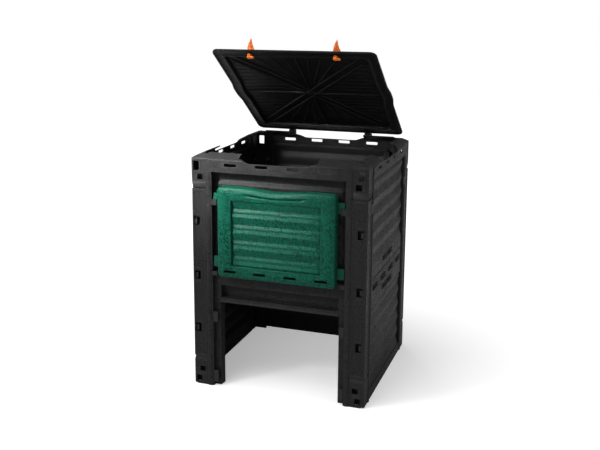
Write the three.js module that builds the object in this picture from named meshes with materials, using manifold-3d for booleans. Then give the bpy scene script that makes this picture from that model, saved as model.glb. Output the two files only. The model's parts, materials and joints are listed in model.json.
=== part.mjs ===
// Square plastic compost bin: four moulded walls hooked together at the corners, a hinged lid
// with two quarter-turn latches, and a sliding harvest door parked in its raised position.
//
// Millimetres, +Z up, front towards -Y. Every wall is drawn as if it were the front wall and then
// turned about Z. Depth d is measured inwards from a wall's outer plane, so y = d - HALF there.

import * as THREE from 'three';
import { mergeVertices } from 'three/addons/utils/BufferGeometryUtils.js';
import Module from 'manifold-3d';

const wasm = await Module();
wasm.setup();

// ---------------------------------------------------------------- driving sizes

const HALF = 305;               // half the plan size of the bin
const SKIN = 4;                 // moulded wall thickness
const GAP = 0.3;                // clearance between separate pieces
const WALL_TOP = 807;           // where the upright wall ends and the collar starts
const SEAT = WALL_TOP - SKIN;   // level at which the collar grows out of the wall

const COLLAR_IN = 30;           // how far the collar leans inwards
const COLLAR_RISE = 16;         // and how far it rises over that

const POST = 73;                // width of the flat post at each end of a wall
const FIELD = HALF - POST;      // half width of the louvred field
const FLANK = FIELD + SKIN;     // outside of the field's side flank
const EDGE = 5;                 // width of the side wall's edge seen from the front
const POST_END = HALF - EDGE - GAP;   // the front and back walls stand between those edges

const PROUD = 3;                // the bead and the header stand this far out of the post
const BEAD = [236, 253];        // the half-round bead beside the field
const HEADER = [762, 803];      // the header above the field
const HEADER_HALF = 251;

// Louvres. Each step is how far the surface has come out of the valley, as a share, and the drop
// below the valley's level at which it has done so. After the last step it falls back inwards.
const PITCH = 54;               // height of one louvre
const RELIEF_HALF = 221;        // the louvres stop short of the flanks
const FRONT_RELIEF = { crest: 17, valley: 27, firstValley: 735, steps: [[0, 3], [1, 15]] };
const SIDE_RELIEF = { crest: 2, valley: 10, firstValley: 715, steps: [[0, 0], [1, 27]] };

const HEADER_RADIUS = 15;       // upper corners of the header's pad
const SLOT = { width: 44, height: 10.5, level: 788, at: [-163.5, -54.5, 54.5, 163.5] };
const SLOT_CORNER = 0.3;        // share of a slot's height that its corners take
// Finger dip in every wall's top: half widths, the run of its rounded ends, and its depth
const DIP = { top: 136, bottom: 95, ramp: 8, depth: 10, shoulder: 2 };

// Front wall: rail, opening and the lugs that hold the door's tabs
const RAIL = { top: 418, bottom: 302, face: 16.5 };
const NICHE = { half: 208, top: 366, bottom: 322, back: 40 };
const OPENING = { half: 208, top: 302, reach: 40 };
const SILL = { height: 12, proud: 2 };   // raised strip over the opening
const LUGS = [[15, 58], [236, 273], [403, 417], [649, 669]];
const LUG_INNER = 215;

// Side and back walls: a flat band with the air vents between two louvred fields
const BAND = { bottom: 320, top: 470 };
const FOOT = 35;                // height of the plain foot under the lower field
const VENTS = [
  { level: 452, at: [-37, 37] },
  { level: 386, at: [-174, -58, 58, 174] },
  { level: 349, at: [-37, 37] },
];
const VENT = { width: 60, height: 8 };
const VENT_LIP = 2;             // how far the lip under each vent stands out
const SEAM_LEVEL = 418;

// Post holes of the front and back walls: height range of each, and how far out they reach. The
// hook holes of a wall's left post stand nearer to its end than those of its right post.
const HOOK_HOLES = [[764, 796], [574, 605], [383, 414], [193, 225], [10, 32]];
const HOOK_HOLE_LEFT = [277.5, 297.5];
const HOOK_HOLE_RIGHT = [272, 293];
const PEG_HOLES = [[733, 754], [47, 67]];
const PEG_HOLE_X = [263, 285];
const CLIP_UPPER = [702, 726];
const CLIP_LOWER = [85, 105];
const CLIP_REACH = 52;
const CLIP_RAMP = 3;
const CLIP_PLAY = 0.2;          // between a clip's inner face and the wall behind it
// Strips of the side walls that close the hollow posts from behind, and the hooks on them
const STRIP = { behind: 24, reach: 50 };
const HOOK = { width: 9, sunk: 3.5, below: 4, above: 8 };
const FOOT_RADIUS = 8;

// Door
const DOOR = { half: 205, bottom: 407, top: 717, front: -25, back: 12.8 };
const DOOR_RADIUS = 8;
const PANEL = { half: 155, bottom: 448, top: 673, radius: 3 };
const PANEL_RELIEF = {
  crest: -17, valley: -8, firstValley: 646, steps: [[0, 0], [0.5, 10], [0.5, 17], [1, 28]],
};
const DOOR_EDGE = 6;
const TABS = [[434, 471], [653, 690]];
const TAB_HALF = 229;
const TAB_DEPTH = [4.8, 12.8];
const DOOR_SLOT = { width: 44, height: 9, level: 429, at: [-159, -53, 53, 159] };
const GRIP = { half: 118, depth: 7 };

// Lid, drawn closed
const LID = { half: 286, front: -282, back: 286, corner: 22 };
const LID_FLOOR = 823.5;        // underside of the brim
const BRIM = 38;
const CROWN = [834, 838];
const LIP_TOP = 831;
const RIB = { floor: 828, width: 3.5 };
const RIB_PAIR = 14;            // the two ribs of a diagonal stand this far to each side of it
const LID_BUMP = { out: 8, half: 55 };
const HINGE = { y: 295, z: 822, x: 150, pin: 3, knuckle: 6.5, knuckleHalf: 8, ear: 7, root: 3 };
const PIN = { reach: 14, head: 2, headAt: [12.8, 15] };
const LID_OPEN = 35;            // degrees above closed
const LATCH = { x: 150, inset: 20, shaft: 4, shaftBelow: 9, foot: 12.5, footHeight: 3 };
const FIN = { height: 49, thickness: 6, sweep: -0.28, sunk: 0.5 };
const CAM = { hub: 7.5, tongue: 18, half: 5.5, radius: 4, below: [13.5, 8.5], seat: 9.3 };

// The row's origin is the middle of the whole object's footprint, door included
const FOOTPRINT_SHIFT = -(DOOR.front + PROUD) / 2;

const BLACK = { color: 0x2b2b2c, roughness: 0.62, metalness: 0 };
const GREEN = { color: 0x14573f, roughness: 0.5, metalness: 0 };
const ORANGE = { color: 0xe8641a, roughness: 0.4, metalness: 0 };

// ---------------------------------------------------------------- solids

function toSolid(geometry) {
  const bare = new THREE.BufferGeometry();
  bare.setAttribute('position', geometry.getAttribute('position'));
  if (geometry.index) bare.setIndex(geometry.index);
  const merged = mergeVertices(bare, 1e-4);
  const vertProperties = new Float32Array(merged.getAttribute('position').array);
  const triVerts = new Uint32Array(merged.index.array);
  return new wasm.Manifold(new wasm.Mesh({ numProp: 3, vertProperties, triVerts }));
}

function toGeometry(manifold) {
  const mesh = manifold.getMesh();
  const geometry = new THREE.BufferGeometry();
  geometry.setAttribute('position', new THREE.BufferAttribute(mesh.vertProperties, 3));
  geometry.setIndex(new THREE.BufferAttribute(mesh.triVerts, 1));
  geometry.computeVertexNormals();
  return geometry;
}

const join = (solids) => solids.reduce((sum, solid) => sum.add(solid));
const cut = (solid, tools) => tools.reduce((rest, tool) => rest.subtract(tool), solid);

function box([x0, x1], [y0, y1], [z0, z1]) {
  const geometry = new THREE.BoxGeometry(x1 - x0, y1 - y0, z1 - z0);
  geometry.translate((x0 + x1) / 2, (y0 + y1) / 2, (z0 + z1) / 2);
  return toSolid(geometry);
}

// A box of a wall, with its depth range given inwards from the wall's outer plane
const wallBox = (x, [d0, d1], z) => box(x, [d0 - HALF, d1 - HALF], z);

const outline = (points) => new THREE.Shape(points.map(([a, b]) => new THREE.Vector2(a, b)));

function extrude(shape, length, right, up, along, options = {}) {
  const settings = { depth: length, bevelEnabled: false, curveSegments: 3, ...options };
  const geometry = new THREE.ExtrudeGeometry(shape, settings);
  geometry.applyMatrix4(new THREE.Matrix4().makeBasis(right, up, along));
  return geometry;
}

const QUARTER = Math.PI / 2;
const X = new THREE.Vector3(1, 0, 0);
const Y = new THREE.Vector3(0, 1, 0);
const Z = new THREE.Vector3(0, 0, 1);
const BACKWARDS = new THREE.Vector3(0, -1, 0);

// Outline in (d, z) of a wall, run along x
function bar(points, [x0, x1]) {
  const geometry = extrude(outline(points), x1 - x0, Y, Z, X);
  geometry.translate(x0, -HALF, 0);
  return toSolid(geometry);
}

// Outline in (x, z) of a wall, run through the depth
function plate(shape, [d0, d1], options) {
  const geometry = extrude(shape, d1 - d0, X, Z, BACKWARDS, options);
  geometry.translate(0, d1 - HALF, 0);
  return toSolid(geometry);
}

// Outline in (x, y), run upwards
function column(shape, [z0, z1]) {
  const geometry = extrude(shape, z1 - z0, X, Y, Z);
  geometry.translate(0, 0, z0);
  return toSolid(geometry);
}

function rod(radius, [x0, x1], y, z, sides = 16) {
  const geometry = new THREE.CylinderGeometry(radius, radius, x1 - x0, sides);
  geometry.rotateZ(Math.PI / 2);
  geometry.translate((x0 + x1) / 2, y, z);
  return toSolid(geometry);
}

function post(radius, x, y, [z0, z1], sides = 16) {
  const geometry = new THREE.CylinderGeometry(radius, radius, z1 - z0, sides);
  geometry.rotateX(Math.PI / 2);
  geometry.translate(x, y, (z0 + z1) / 2);
  return toSolid(geometry);
}

// Rectangle with its own radius at each corner: bottom left, bottom right, top right, top left
function roundedRect([x0, x1], [y0, y1], [bl, br, tr, tl]) {
  const shape = new THREE.Shape();
  shape.moveTo(x0 + bl, y0);
  shape.lineTo(x1 - br, y0);
  if (br) shape.absarc(x1 - br, y0 + br, br, -Math.PI / 2, 0);
  shape.lineTo(x1, y1 - tr);
  if (tr) shape.absarc(x1 - tr, y1 - tr, tr, 0, Math.PI / 2);
  shape.lineTo(x0 + tl, y1);
  if (tl) shape.absarc(x0 + tl, y1 - tl, tl, Math.PI / 2, Math.PI);
  shape.lineTo(x0, y0 + bl);
  if (bl) shape.absarc(x0 + bl, y0 + bl, bl, Math.PI, 1.5 * Math.PI);
  return shape;
}

// Through slot of a wall, with its corners taken off
function slot(x, z, { width, height }, depth) {
  const corners = Array(4).fill(height * SLOT_CORNER);
  const shape = roundedRect(
    [x - width / 2, x + width / 2], [z - height / 2, z + height / 2], corners);
  return plate(shape, depth, { curveSegments: 1 });
}

const turn = (geometry, angle) => geometry.applyMatrix4(new THREE.Matrix4().makeRotationZ(angle));

const bothSides = (make) => [-1, 1].map(make);
const span = (side, [a, b]) => (side > 0 ? [a, b] : [-b, -a]);

// ---------------------------------------------------------------- louvres

// Front line of the louvres from the top down
function louvreLine({ crest, valley, firstValley, steps }, bottom) {
  const points = [];
  for (let z = firstValley + 2 * PITCH; z > bottom - PITCH; z -= PITCH) {
    steps.forEach(([share, drop]) => points.push([valley + (crest - valley) * share, z - drop]));
  }
  return points;
}

// Corrugated sheet with closed ends, between two levels of a wall
function louvres(relief, half, [bottom, top]) {
  const { crest, valley } = relief;
  const line = louvreLine(relief, bottom);
  const back = valley + SKIN;
  const ends = [line[line.length - 1][1], line[0][1]];
  const outside = [...line, [back, ends[0]], [back, ends[1]]];
  const inside = line.map(([d, z]) => [d + SKIN, z]);
  inside.push([back + SKIN, ends[0]], [back + SKIN, ends[1]]);
  const sheet = bar(outside, [-half, half]).subtract(bar(inside, [SKIN - half, half - SKIN]));
  return sheet.intersect(wallBox([-half, half], [crest - 1, back], [bottom, top]));
}

// Sunk field of a wall: the back border and the louvres
function louvredField(relief, height) {
  const border = bothSides((side) => wallBox(
    span(side, [RELIEF_HALF - SKIN, FLANK]), [relief.valley, relief.valley + SKIN], height));
  return join([...border, louvres(relief, RELIEF_HALF, height)]);
}

const flanks = (depth, height) =>
  bothSides((side) => wallBox(span(side, [FIELD, FLANK]), [0, depth], height));

const shelf = ([z0, z1], depth) => wallBox([-FLANK, FLANK], depth, [z0, z1]);

// ---------------------------------------------------------------- parts shared by all walls

// Flat skin of one post, from the ground to the collar
const postSkin = (side) => wallBox(span(side, [FIELD, POST_END]), [0, SKIN], [0, SEAT]);

// Half-round bead that stands out of the post beside the field
function bead(side) {
  const [inner, outer] = BEAD;
  const shape = new THREE.Shape();
  const middle = side * (inner + outer) / 2;
  shape.moveTo(middle - (outer - inner) / 2, SKIN / 2 - HALF);
  shape.lineTo(middle - (outer - inner) / 2, -HALF);
  shape.absellipse(middle, -HALF, (outer - inner) / 2, PROUD, Math.PI, 2 * Math.PI);
  shape.lineTo(middle + (outer - inner) / 2, SKIN / 2 - HALF);
  return column(shape, [0, HEADER[0] + SKIN]);
}

// Header above the field, with its raised pad and the flange back to the field
function header(valley) {
  const skin = wallBox([-FLANK, FLANK], [0, SKIN], [HEADER[0], SEAT]);
  const corners = [0, 0, HEADER_RADIUS, HEADER_RADIUS];
  const pad = plate(
    roundedRect([-HEADER_HALF, HEADER_HALF], HEADER, corners), [-PROUD, SKIN / 2]);
  const flange = shelf([HEADER[0], HEADER[0] + SKIN], [0, valley + SKIN]);
  return join([skin, pad, flange]);
}

// Collar that leans inwards around the mouth, mitred against its neighbours
function collar() {
  const slope = COLLAR_RISE / COLLAR_IN;
  const section = [
    [0, SEAT], [SKIN, SEAT], [SKIN, SEAT + SKIN * slope],
    [COLLAR_IN, SEAT + COLLAR_RISE], [COLLAR_IN, WALL_TOP + COLLAR_RISE], [0, WALL_TOP],
  ];
  const reach = 2 * SKIN + COLLAR_IN;
  const front = HALF - GAP;
  const mitre = outline([
    [-front - 1, -HALF - 1], [front + 1, -HALF - 1],
    [front - reach, reach - HALF], [reach - front, reach - HALF],
  ]);
  const wedge = column(mitre, [SEAT - 1, WALL_TOP + 2 * COLLAR_RISE]);
  return bar(section, [-HALF, HALF]).intersect(wedge);
}

const headerSlots = () => SLOT.at.map((x) => slot(x, SLOT.level, SLOT, [-2 * PROUD, 2 * SKIN]));

// Flat-bottomed dip through the header and the collar, for fingers to reach under the lid
function fingerDip() {
  const { top, bottom, ramp, depth, shoulder } = DIP;
  const above = WALL_TOP + 2 * COLLAR_RISE;
  const floor = WALL_TOP - depth;
  const high = WALL_TOP + shoulder;
  const shape = new THREE.Shape();
  shape.moveTo(-top, above);
  shape.lineTo(-top, high);
  shape.bezierCurveTo(-top, WALL_TOP - ramp, -bottom - ramp, floor, -bottom, floor);
  shape.lineTo(bottom, floor);
  shape.bezierCurveTo(bottom + ramp, floor, top, WALL_TOP - ramp, top, high);
  shape.lineTo(top, above);
  return plate(shape, [-2 * PROUD, 2 * COLLAR_IN]);
}

// Everything that all four walls share: posts, beads, header and collar
const frame = (valley) =>
  join([...bothSides(postSkin), ...bothSides(bead), header(valley), collar()]);

const clipRecess = (side, height, depth) =>
  wallBox(span(side, [HALF - CLIP_REACH, HALF + 1]), [-1, depth], height);

const clipRecesses = (depth) => bothSides((side) => join(
  [CLIP_UPPER, CLIP_LOWER].map((height) => clipRecess(side, height, depth))));

const hookHole = (side) => (side < 0 ? HOOK_HOLE_LEFT : HOOK_HOLE_RIGHT);

const postHoles = () => bothSides((side) => join([
  ...HOOK_HOLES.map((z) => wallBox(span(side, hookHole(side)), [-1, SKIN + 1], z)),
  ...PEG_HOLES.map((z) => wallBox(span(side, PEG_HOLE_X), [-1, SKIN + 1], z)),
]));

// Full-height middle of the side and back walls: a vented band between two louvred fields
function ventedMiddle() {
  const { crest, valley } = SIDE_RELIEF;
  const behind = [valley, valley + SKIN];
  const band = [BAND.bottom, BAND.top];
  const sheet = wallBox([-RELIEF_HALF, RELIEF_HALF], [crest, crest + SKIN], band);
  const ends = bothSides((side) => wallBox(
    span(side, [RELIEF_HALF - SKIN, RELIEF_HALF]), [crest, valley + SKIN], band));
  const border = bothSides((side) => wallBox(span(side, [RELIEF_HALF, FLANK]), behind, band));
  const edges = [BAND.bottom, BAND.top - SKIN].map((z) => wallBox(
    [-RELIEF_HALF, RELIEF_HALF], [crest, valley + SKIN], [z, z + SKIN]));
  const foot = wallBox([-FLANK, FLANK], [0, SKIN], [0, FOOT]);
  const lips = VENTS.flatMap(({ level, at }) => at.map((x) => wallBox(
    [x - VENT.width / 2, x + VENT.width / 2], [crest - VENT_LIP, crest + 1],
    [level - VENT.height, level - VENT.height / 2])));
  const whole = join([
    louvredField(SIDE_RELIEF, [FOOT, BAND.bottom]),
    louvredField(SIDE_RELIEF, [BAND.top, HEADER[0]]),
    sheet, ...ends, ...border, ...edges, foot, ...lips,
    shelf([FOOT - SKIN, FOOT], [0, valley + SKIN]),
    ...flanks(valley + SKIN, [FOOT, HEADER[0]]),
  ]);
  const slots = VENTS.flatMap(({ level, at }) =>
    at.map((x) => slot(x, level, VENT, [-PROUD, crest + 2 * SKIN])));
  const seam = wallBox([-RELIEF_HALF, RELIEF_HALF], [crest - 1, crest + SKIN / 2],
    [SEAM_LEVEL - SKIN / 2, SEAM_LEVEL + SKIN / 2]);
  return cut(whole, [...slots, seam]);
}

// ---------------------------------------------------------------- the four walls

// Upper field, rail, niche and the two jambs of the harvest opening
function harvestMiddle() {
  const { valley } = FRONT_RELIEF;
  const face = [RAIL.face, RAIL.face + SKIN];
  const turnedIn = [RAIL.face, OPENING.reach];
  const beside = [OPENING.half, OPENING.half + SKIN];
  const rail = wallBox([-FLANK, FLANK], face, [RAIL.bottom, RAIL.top]);
  const nicheBox = wallBox(
    [-NICHE.half - SKIN, NICHE.half + SKIN], [RAIL.face, NICHE.back + SKIN],
    [NICHE.bottom - SKIN, NICHE.top + SKIN]);
  const nicheCut = wallBox(
    [-NICHE.half, NICHE.half], [0, NICHE.back], [NICHE.bottom, NICHE.top]);
  const sill = wallBox(
    [-OPENING.half, OPENING.half], [RAIL.face - SILL.proud, RAIL.face + SKIN],
    [OPENING.top, OPENING.top + SILL.height]);
  const jambs = bothSides((side) => join([
    wallBox(span(side, [OPENING.half, FLANK]), face, [0, RAIL.bottom]),
    wallBox(span(side, beside), turnedIn, [0, RAIL.bottom]),
  ]));
  const lintel = wallBox([-beside[1], beside[1]], turnedIn, [OPENING.top, OPENING.top + SKIN]);
  const lugs = bothSides((side) => join(
    LUGS.map((height) => wallBox(span(side, [LUG_INNER, FLANK]), [0, SKIN], height))));
  const whole = join([
    louvredField(FRONT_RELIEF, [RAIL.top, HEADER[0]]), rail, nicheBox, sill, ...jambs, lintel,
    shelf([RAIL.top - SKIN, RAIL.top], [RAIL.face, valley + SKIN]),
    ...flanks(valley + SKIN, [RAIL.top - SKIN, HEADER[0]]),
    ...flanks(RAIL.face + SKIN, [0, RAIL.top]),
    ...lugs,
  ]);
  return whole.subtract(nicheCut);
}

// Front and back walls stand between the edges of the side walls
function crossWall(middle, valley) {
  return cut(join([frame(valley), middle]), [
    ...headerSlots(), fingerDip(), ...postHoles(), ...clipRecesses(SKIN + 1),
  ]);
}

// Ears on the back wall's collar that carry the lid's hinge pins
function hingeEars() {
  const depth = HALF - HINGE.y;
  const shape = new THREE.Shape();
  shape.moveTo(1, SEAT + 2);
  shape.lineTo(depth - HINGE.ear, HINGE.z);
  shape.absarc(depth, HINGE.z, HINGE.ear, Math.PI, 0, true);
  shape.lineTo(depth + HINGE.ear + HINGE.root, WALL_TOP + HINGE.root * HINGE.root);
  return bothSides((side) => join(bothSides((hand) => {
    const x = side * HINGE.x + hand * (HINGE.knuckleHalf + GAP + SKIN / 2);
    const geometry = extrude(shape, SKIN, Y, Z, X);
    geometry.translate(x - SKIN / 2, -HALF, 0);
    return toSolid(geometry);
  })));
}

function backWall() {
  const boreHalf = HINGE.knuckleHalf + 3 * SKIN;
  const bores = bothSides((side) =>
    rod(HINGE.pin + GAP, [side * HINGE.x - boreHalf, side * HINGE.x + boreHalf], -HINGE.y, HINGE.z));
  return cut(join([crossWall(ventedMiddle(), SIDE_RELIEF.valley), ...hingeEars()]), bores);
}

// Side walls run the full depth. Their ends turn in behind the posts of the front and back walls,
// where hooks stand into the middle holes.
function sideWall() {
  const outer = HALF - STRIP.behind;
  const strip = [outer - SKIN, outer];
  const start = (side) => HALF - hookHole(-side)[1] + 1;
  const ends = bothSides((side) => join([
    plate(
      roundedRect(span(side, [strip[0], HALF]), [0, SEAT - GAP],
        side > 0 ? [0, FOOT_RADIUS, 0, 0] : [FOOT_RADIUS, 0, 0, 0]),
      [0, EDGE]),
    wallBox(span(side, strip), [0, STRIP.reach], [0, HEADER[0] - SKIN]),
    ...HOOK_HOLES.slice(1, 4).map(([low, high]) => wallBox(
      span(side, [outer - 1, HALF - HOOK.sunk]), [start(side), start(side) + HOOK.width],
      [low + HOOK.below, high - HOOK.above])),
  ]));
  return cut(join([frame(SIDE_RELIEF.valley), ventedMiddle(), ...ends]), [
    ...headerSlots(), fingerDip(), ...clipRecesses(EDGE + 0.01),
  ]);
}

// ---------------------------------------------------------------- corner clips

// Angle clip let into the recess at one corner. Both faces ramp inwards from the flush end.
function cornerClip([low, high], flushAtTop) {
  const height = [low + GAP, high - GAP];
  const start = HALF - CLIP_REACH + GAP;
  const leg = HALF - SKIN - CLIP_PLAY;
  const legs = join([
    box([start, HALF], [-HALF, -leg], height),
    box([leg, HALF], [-HALF, -start], height),
  ]);
  const [flush, sunk] = flushAtTop ? [height[1], height[0]] : height;
  const beyond = sunk + Math.sign(sunk - flush);
  const section = [[-1, flush], [0, flush], [CLIP_RAMP, sunk], [CLIP_RAMP, beyond], [-1, beyond]];
  const frontRamp = bar(section, [0, HALF + 1]);
  const sideRamp = toSolid(turn(toGeometry(bar(section, [-HALF - 1, 0])), QUARTER));
  return cut(legs, [frontRamp, sideRamp]);
}

// ---------------------------------------------------------------- door

function doorOutline(half, bottom, top, radius, grip) {
  const shape = new THREE.Shape();
  shape.moveTo(-half + radius, bottom);
  shape.lineTo(half - radius, bottom);
  shape.absarc(half - radius, bottom + radius, radius, -Math.PI / 2, 0);
  shape.lineTo(half, top - radius);
  shape.absarc(half - radius, top - radius, radius, 0, Math.PI / 2);
  if (grip) {
    shape.lineTo(GRIP.half, top);
    shape.quadraticCurveTo(0, top - 2 * GRIP.depth, -GRIP.half, top);
  }
  shape.lineTo(-half + radius, top);
  shape.absarc(-half + radius, top - radius, radius, Math.PI / 2, Math.PI);
  shape.lineTo(-half, bottom + radius);
  shape.absarc(-half + radius, bottom + radius, radius, Math.PI, 1.5 * Math.PI);
  return shape;
}

function harvestDoor() {
  const bevel = {
    bevelEnabled: true, bevelThickness: DOOR_EDGE, bevelSize: DOOR_EDGE, bevelSegments: 2,
  };
  const whole = doorOutline(
    DOOR.half - DOOR_EDGE, DOOR.bottom + DOOR_EDGE, DOOR.top - DOOR_EDGE, DOOR_RADIUS, true);
  const block = plate(whole, [DOOR.front + DOOR_EDGE, DOOR.back + DOOR_EDGE], bevel)
    .intersect(wallBox([-HALF, HALF], [DOOR.front, DOOR.back], [0, HEADER[0]]));
  const inside = doorOutline(
    DOOR.half - SKIN, DOOR.bottom + SKIN, DOOR.top - SKIN - GRIP.depth, DOOR_RADIUS, false);
  const hollow = plate(inside, [DOOR.front + SKIN, DOOR.back + 1]);
  const panelRect = (margin) => roundedRect(
    [-PANEL.half - margin, PANEL.half + margin], [PANEL.bottom - margin, PANEL.top + margin],
    Array(4).fill(PANEL.radius + margin / 2));
  const wellBack = PANEL_RELIEF.valley + SKIN;
  const mouth = plate(panelRect(0), [DOOR.front - 1, DOOR.front + SKIN + 1]);
  const well = plate(panelRect(SKIN), [DOOR.front, wellBack]);
  const wellCut = plate(panelRect(0), [DOOR.front - 1, wellBack + 1]);
  const sheet = louvres(PANEL_RELIEF, PANEL.half + 1, [PANEL.bottom - 1, PANEL.top + 1]);
  const shell = join([cut(block, [hollow, mouth]), well]).subtract(wellCut);
  const tabs = bothSides((side) => join(TABS.map((height) =>
    wallBox(span(side, [DOOR.half - SKIN, TAB_HALF]), TAB_DEPTH, height))));
  const slots = DOOR_SLOT.at.map((x) =>
    slot(x, DOOR_SLOT.level, DOOR_SLOT, [DOOR.front - 1, DOOR.front + SKIN + 1]));
  return cut(join([shell, sheet, ...tabs]), slots);
}

// ---------------------------------------------------------------- lid and its latches

// Plan of the lid, drawn in by an inset, with a finger bump in the middle of both sides
function lidOutline(inset) {
  const half = LID.half - inset;
  const front = LID.front + inset;
  const back = LID.back - inset;
  const radius = Math.max(LID.corner - inset, 6);
  const middle = (front + back) / 2;
  const bump = LID_BUMP.out;
  const reach = LID_BUMP.half - inset / 2;
  const shape = new THREE.Shape();
  shape.moveTo(-half + radius, front);
  shape.lineTo(half - radius, front);
  shape.absarc(half - radius, front + radius, radius, -Math.PI / 2, 0);
  shape.lineTo(half, middle - reach);
  shape.bezierCurveTo(
    half + bump, middle - reach / 2, half + bump, middle + reach / 2, half, middle + reach);
  shape.lineTo(half, back - radius);
  shape.absarc(half - radius, back - radius, radius, 0, Math.PI / 2);
  shape.lineTo(-half + radius, back);
  shape.absarc(-half + radius, back - radius, radius, Math.PI / 2, Math.PI);
  shape.lineTo(-half, middle + reach);
  shape.bezierCurveTo(
    -half - bump, middle + reach / 2, -half - bump, middle - reach / 2, -half, middle - reach);
  shape.lineTo(-half, front + radius);
  shape.absarc(-half + radius, front + radius, radius, Math.PI, 1.5 * Math.PI);
  return shape;
}

const lidRing = (outer, inner, [low, high]) =>
  column(lidOutline(outer), [low, high]).subtract(column(lidOutline(inner), [low - 1, high + 1]));

// Star of stiffening ribs under the crown: two side by side along each diagonal, one along each axis
function lidRibs() {
  const centre = (LID.front + LID.back) / 2;
  const length = 2 * LID.half * Math.SQRT2;
  const height = CROWN[0] - RIB.floor + 1;
  const ribs = [];
  for (const angle of [0, 45, 90, 135]) {
    const offsets = angle % 90 ? [-RIB_PAIR, RIB_PAIR] : [0];
    for (const offset of offsets) {
      const geometry = new THREE.BoxGeometry(length, RIB.width, height);
      geometry.translate(0, offset, RIB.floor + height / 2);
      turn(geometry, THREE.MathUtils.degToRad(angle));
      geometry.translate(0, centre, 0);
      ribs.push(toSolid(geometry));
    }
  }
  const inside = column(lidOutline(BRIM - 1), [RIB.floor, CROWN[0] + 1]);
  return ribs.map((rib) => rib.intersect(inside));
}

function lid() {
  const brim = lidRing(0, BRIM, [LID_FLOOR, LID_FLOOR + SKIN]);
  const lip = lidRing(0, SKIN, [LID_FLOOR, LIP_TOP]);
  const wall = lidRing(BRIM - SKIN, BRIM, [LID_FLOOR, CROWN[1]]);
  const crown = column(lidOutline(BRIM - SKIN), CROWN);
  const about = (side, half) => [side * HINGE.x - half, side * HINGE.x + half];
  const knuckles = bothSides((side) => join([
    rod(HINGE.knuckle, about(side, HINGE.knuckleHalf), HINGE.y, HINGE.z),
    box(about(side, HINGE.knuckleHalf), [LID.back - 2, HINGE.y], [LID_FLOOR, LID_FLOOR + SKIN]),
  ]));
  const bores = bothSides((side) =>
    rod(HINGE.pin + GAP, about(side, HINGE.knuckleHalf + 1), HINGE.y, HINGE.z));
  const latchHoles = bothSides((side) =>
    post(LATCH.shaft + GAP, side * LATCH.x, LID.front + LATCH.inset, [LID_FLOOR - 1, LIP_TOP]));
  return cut(join([brim, lip, wall, crown, ...lidRibs(), ...knuckles]), [...bores, ...latchHoles]);
}

// Thumb-turn: a swept fin on a round foot, with the shaft that goes through the brim
function latchKnob(side) {
  const x = side * LATCH.x;
  const y = LID.front + LATCH.inset;
  const seat = LID_FLOOR + SKIN + GAP;
  const fin = new THREE.Shape();
  fin.moveTo(-12, 0);
  fin.bezierCurveTo(-12, 12, -14, 28, -3, FIN.height);
  fin.bezierCurveTo(1, 32, 6, 18, 18, 8);
  fin.lineTo(18, 2.5);
  fin.lineTo(11, 0);
  const geometry = extrude(fin, FIN.thickness, X, Z, BACKWARDS, { curveSegments: 6 });
  geometry.translate(0, FIN.thickness / 2, 0);
  geometry.applyMatrix4(new THREE.Matrix4().makeShear(0, 0, 0, 0, 0, FIN.sweep));
  geometry.translate(x, y, seat + LATCH.footHeight - FIN.sunk);
  return join([
    toSolid(geometry),
    post(LATCH.foot, x, y, [seat, seat + LATCH.footHeight]),
    post(LATCH.shaft, x, y, [LID_FLOOR - LATCH.shaftBelow, seat + 1]),
  ]);
}

// Cam pushed on to the shaft below the brim: turned by a quarter it reaches under the collar
function latchCam(side) {
  const x = side * LATCH.x;
  const y = LID.front + LATCH.inset;
  const levels = CAM.below.map((drop) => LID_FLOOR - drop);
  const arm = roundedRect(
    [x, x + CAM.tongue], [y - CAM.half, y + CAM.half], [0, CAM.radius, CAM.radius, 0]);
  const hub = post(CAM.hub, x, y, [levels[0], LID_FLOOR - GAP]);
  const pocket = post(LATCH.shaft + GAP, x, y, [LID_FLOOR - CAM.seat, LID_FLOOR]);
  return join([hub, column(arm, levels)]).subtract(pocket);
}

function hingePin(side) {
  const x = side * HINGE.x;
  const head = PIN.headAt.map((along) => HINGE.x + along);
  return join([
    rod(HINGE.pin, [x - PIN.reach, x + PIN.reach], HINGE.y, HINGE.z),
    rod(HINGE.pin + PIN.head, span(side, head), HINGE.y, HINGE.z),
  ]);
}

// ---------------------------------------------------------------- assembly

const bin = new THREE.Group();
bin.position.set(0, FOOTPRINT_SHIFT, 0);

const lidGroup = new THREE.Group();
lidGroup.position.set(0, HINGE.y, HINGE.z);
lidGroup.rotation.x = -THREE.MathUtils.degToRad(LID_OPEN);
bin.add(lidGroup);

function add(parent, name, manifold, finish, angle = 0) {
  const mesh = new THREE.Mesh(toGeometry(manifold), new THREE.MeshStandardMaterial(finish));
  mesh.name = name;
  mesh.rotation.z = angle;
  parent.add(mesh);
  return mesh;
}

function addToLid(name, manifold, finish) {
  add(lidGroup, name, manifold, finish).geometry.translate(0, -HINGE.y, -HINGE.z);
}

add(bin, 'front_wall', crossWall(harvestMiddle(), FRONT_RELIEF.valley), BLACK);
add(bin, 'right_wall', sideWall(), BLACK, QUARTER);
add(bin, 'back_wall', backWall(), BLACK, 2 * QUARTER);
add(bin, 'left_wall', sideWall(), BLACK, -QUARTER);

const CORNERS = ['front_right', 'back_right', 'back_left', 'front_left'];
CORNERS.forEach((corner, turns) => {
  add(bin, `clip_${corner}_upper`, cornerClip(CLIP_UPPER, true), BLACK, turns * QUARTER);
  add(bin, `clip_${corner}_lower`, cornerClip(CLIP_LOWER, false), BLACK, turns * QUARTER);
});

add(bin, 'harvest_door', harvestDoor(), GREEN);
add(bin, 'hinge_pin_left', hingePin(-1), BLACK);
add(bin, 'hinge_pin_right', hingePin(1), BLACK);

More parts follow.
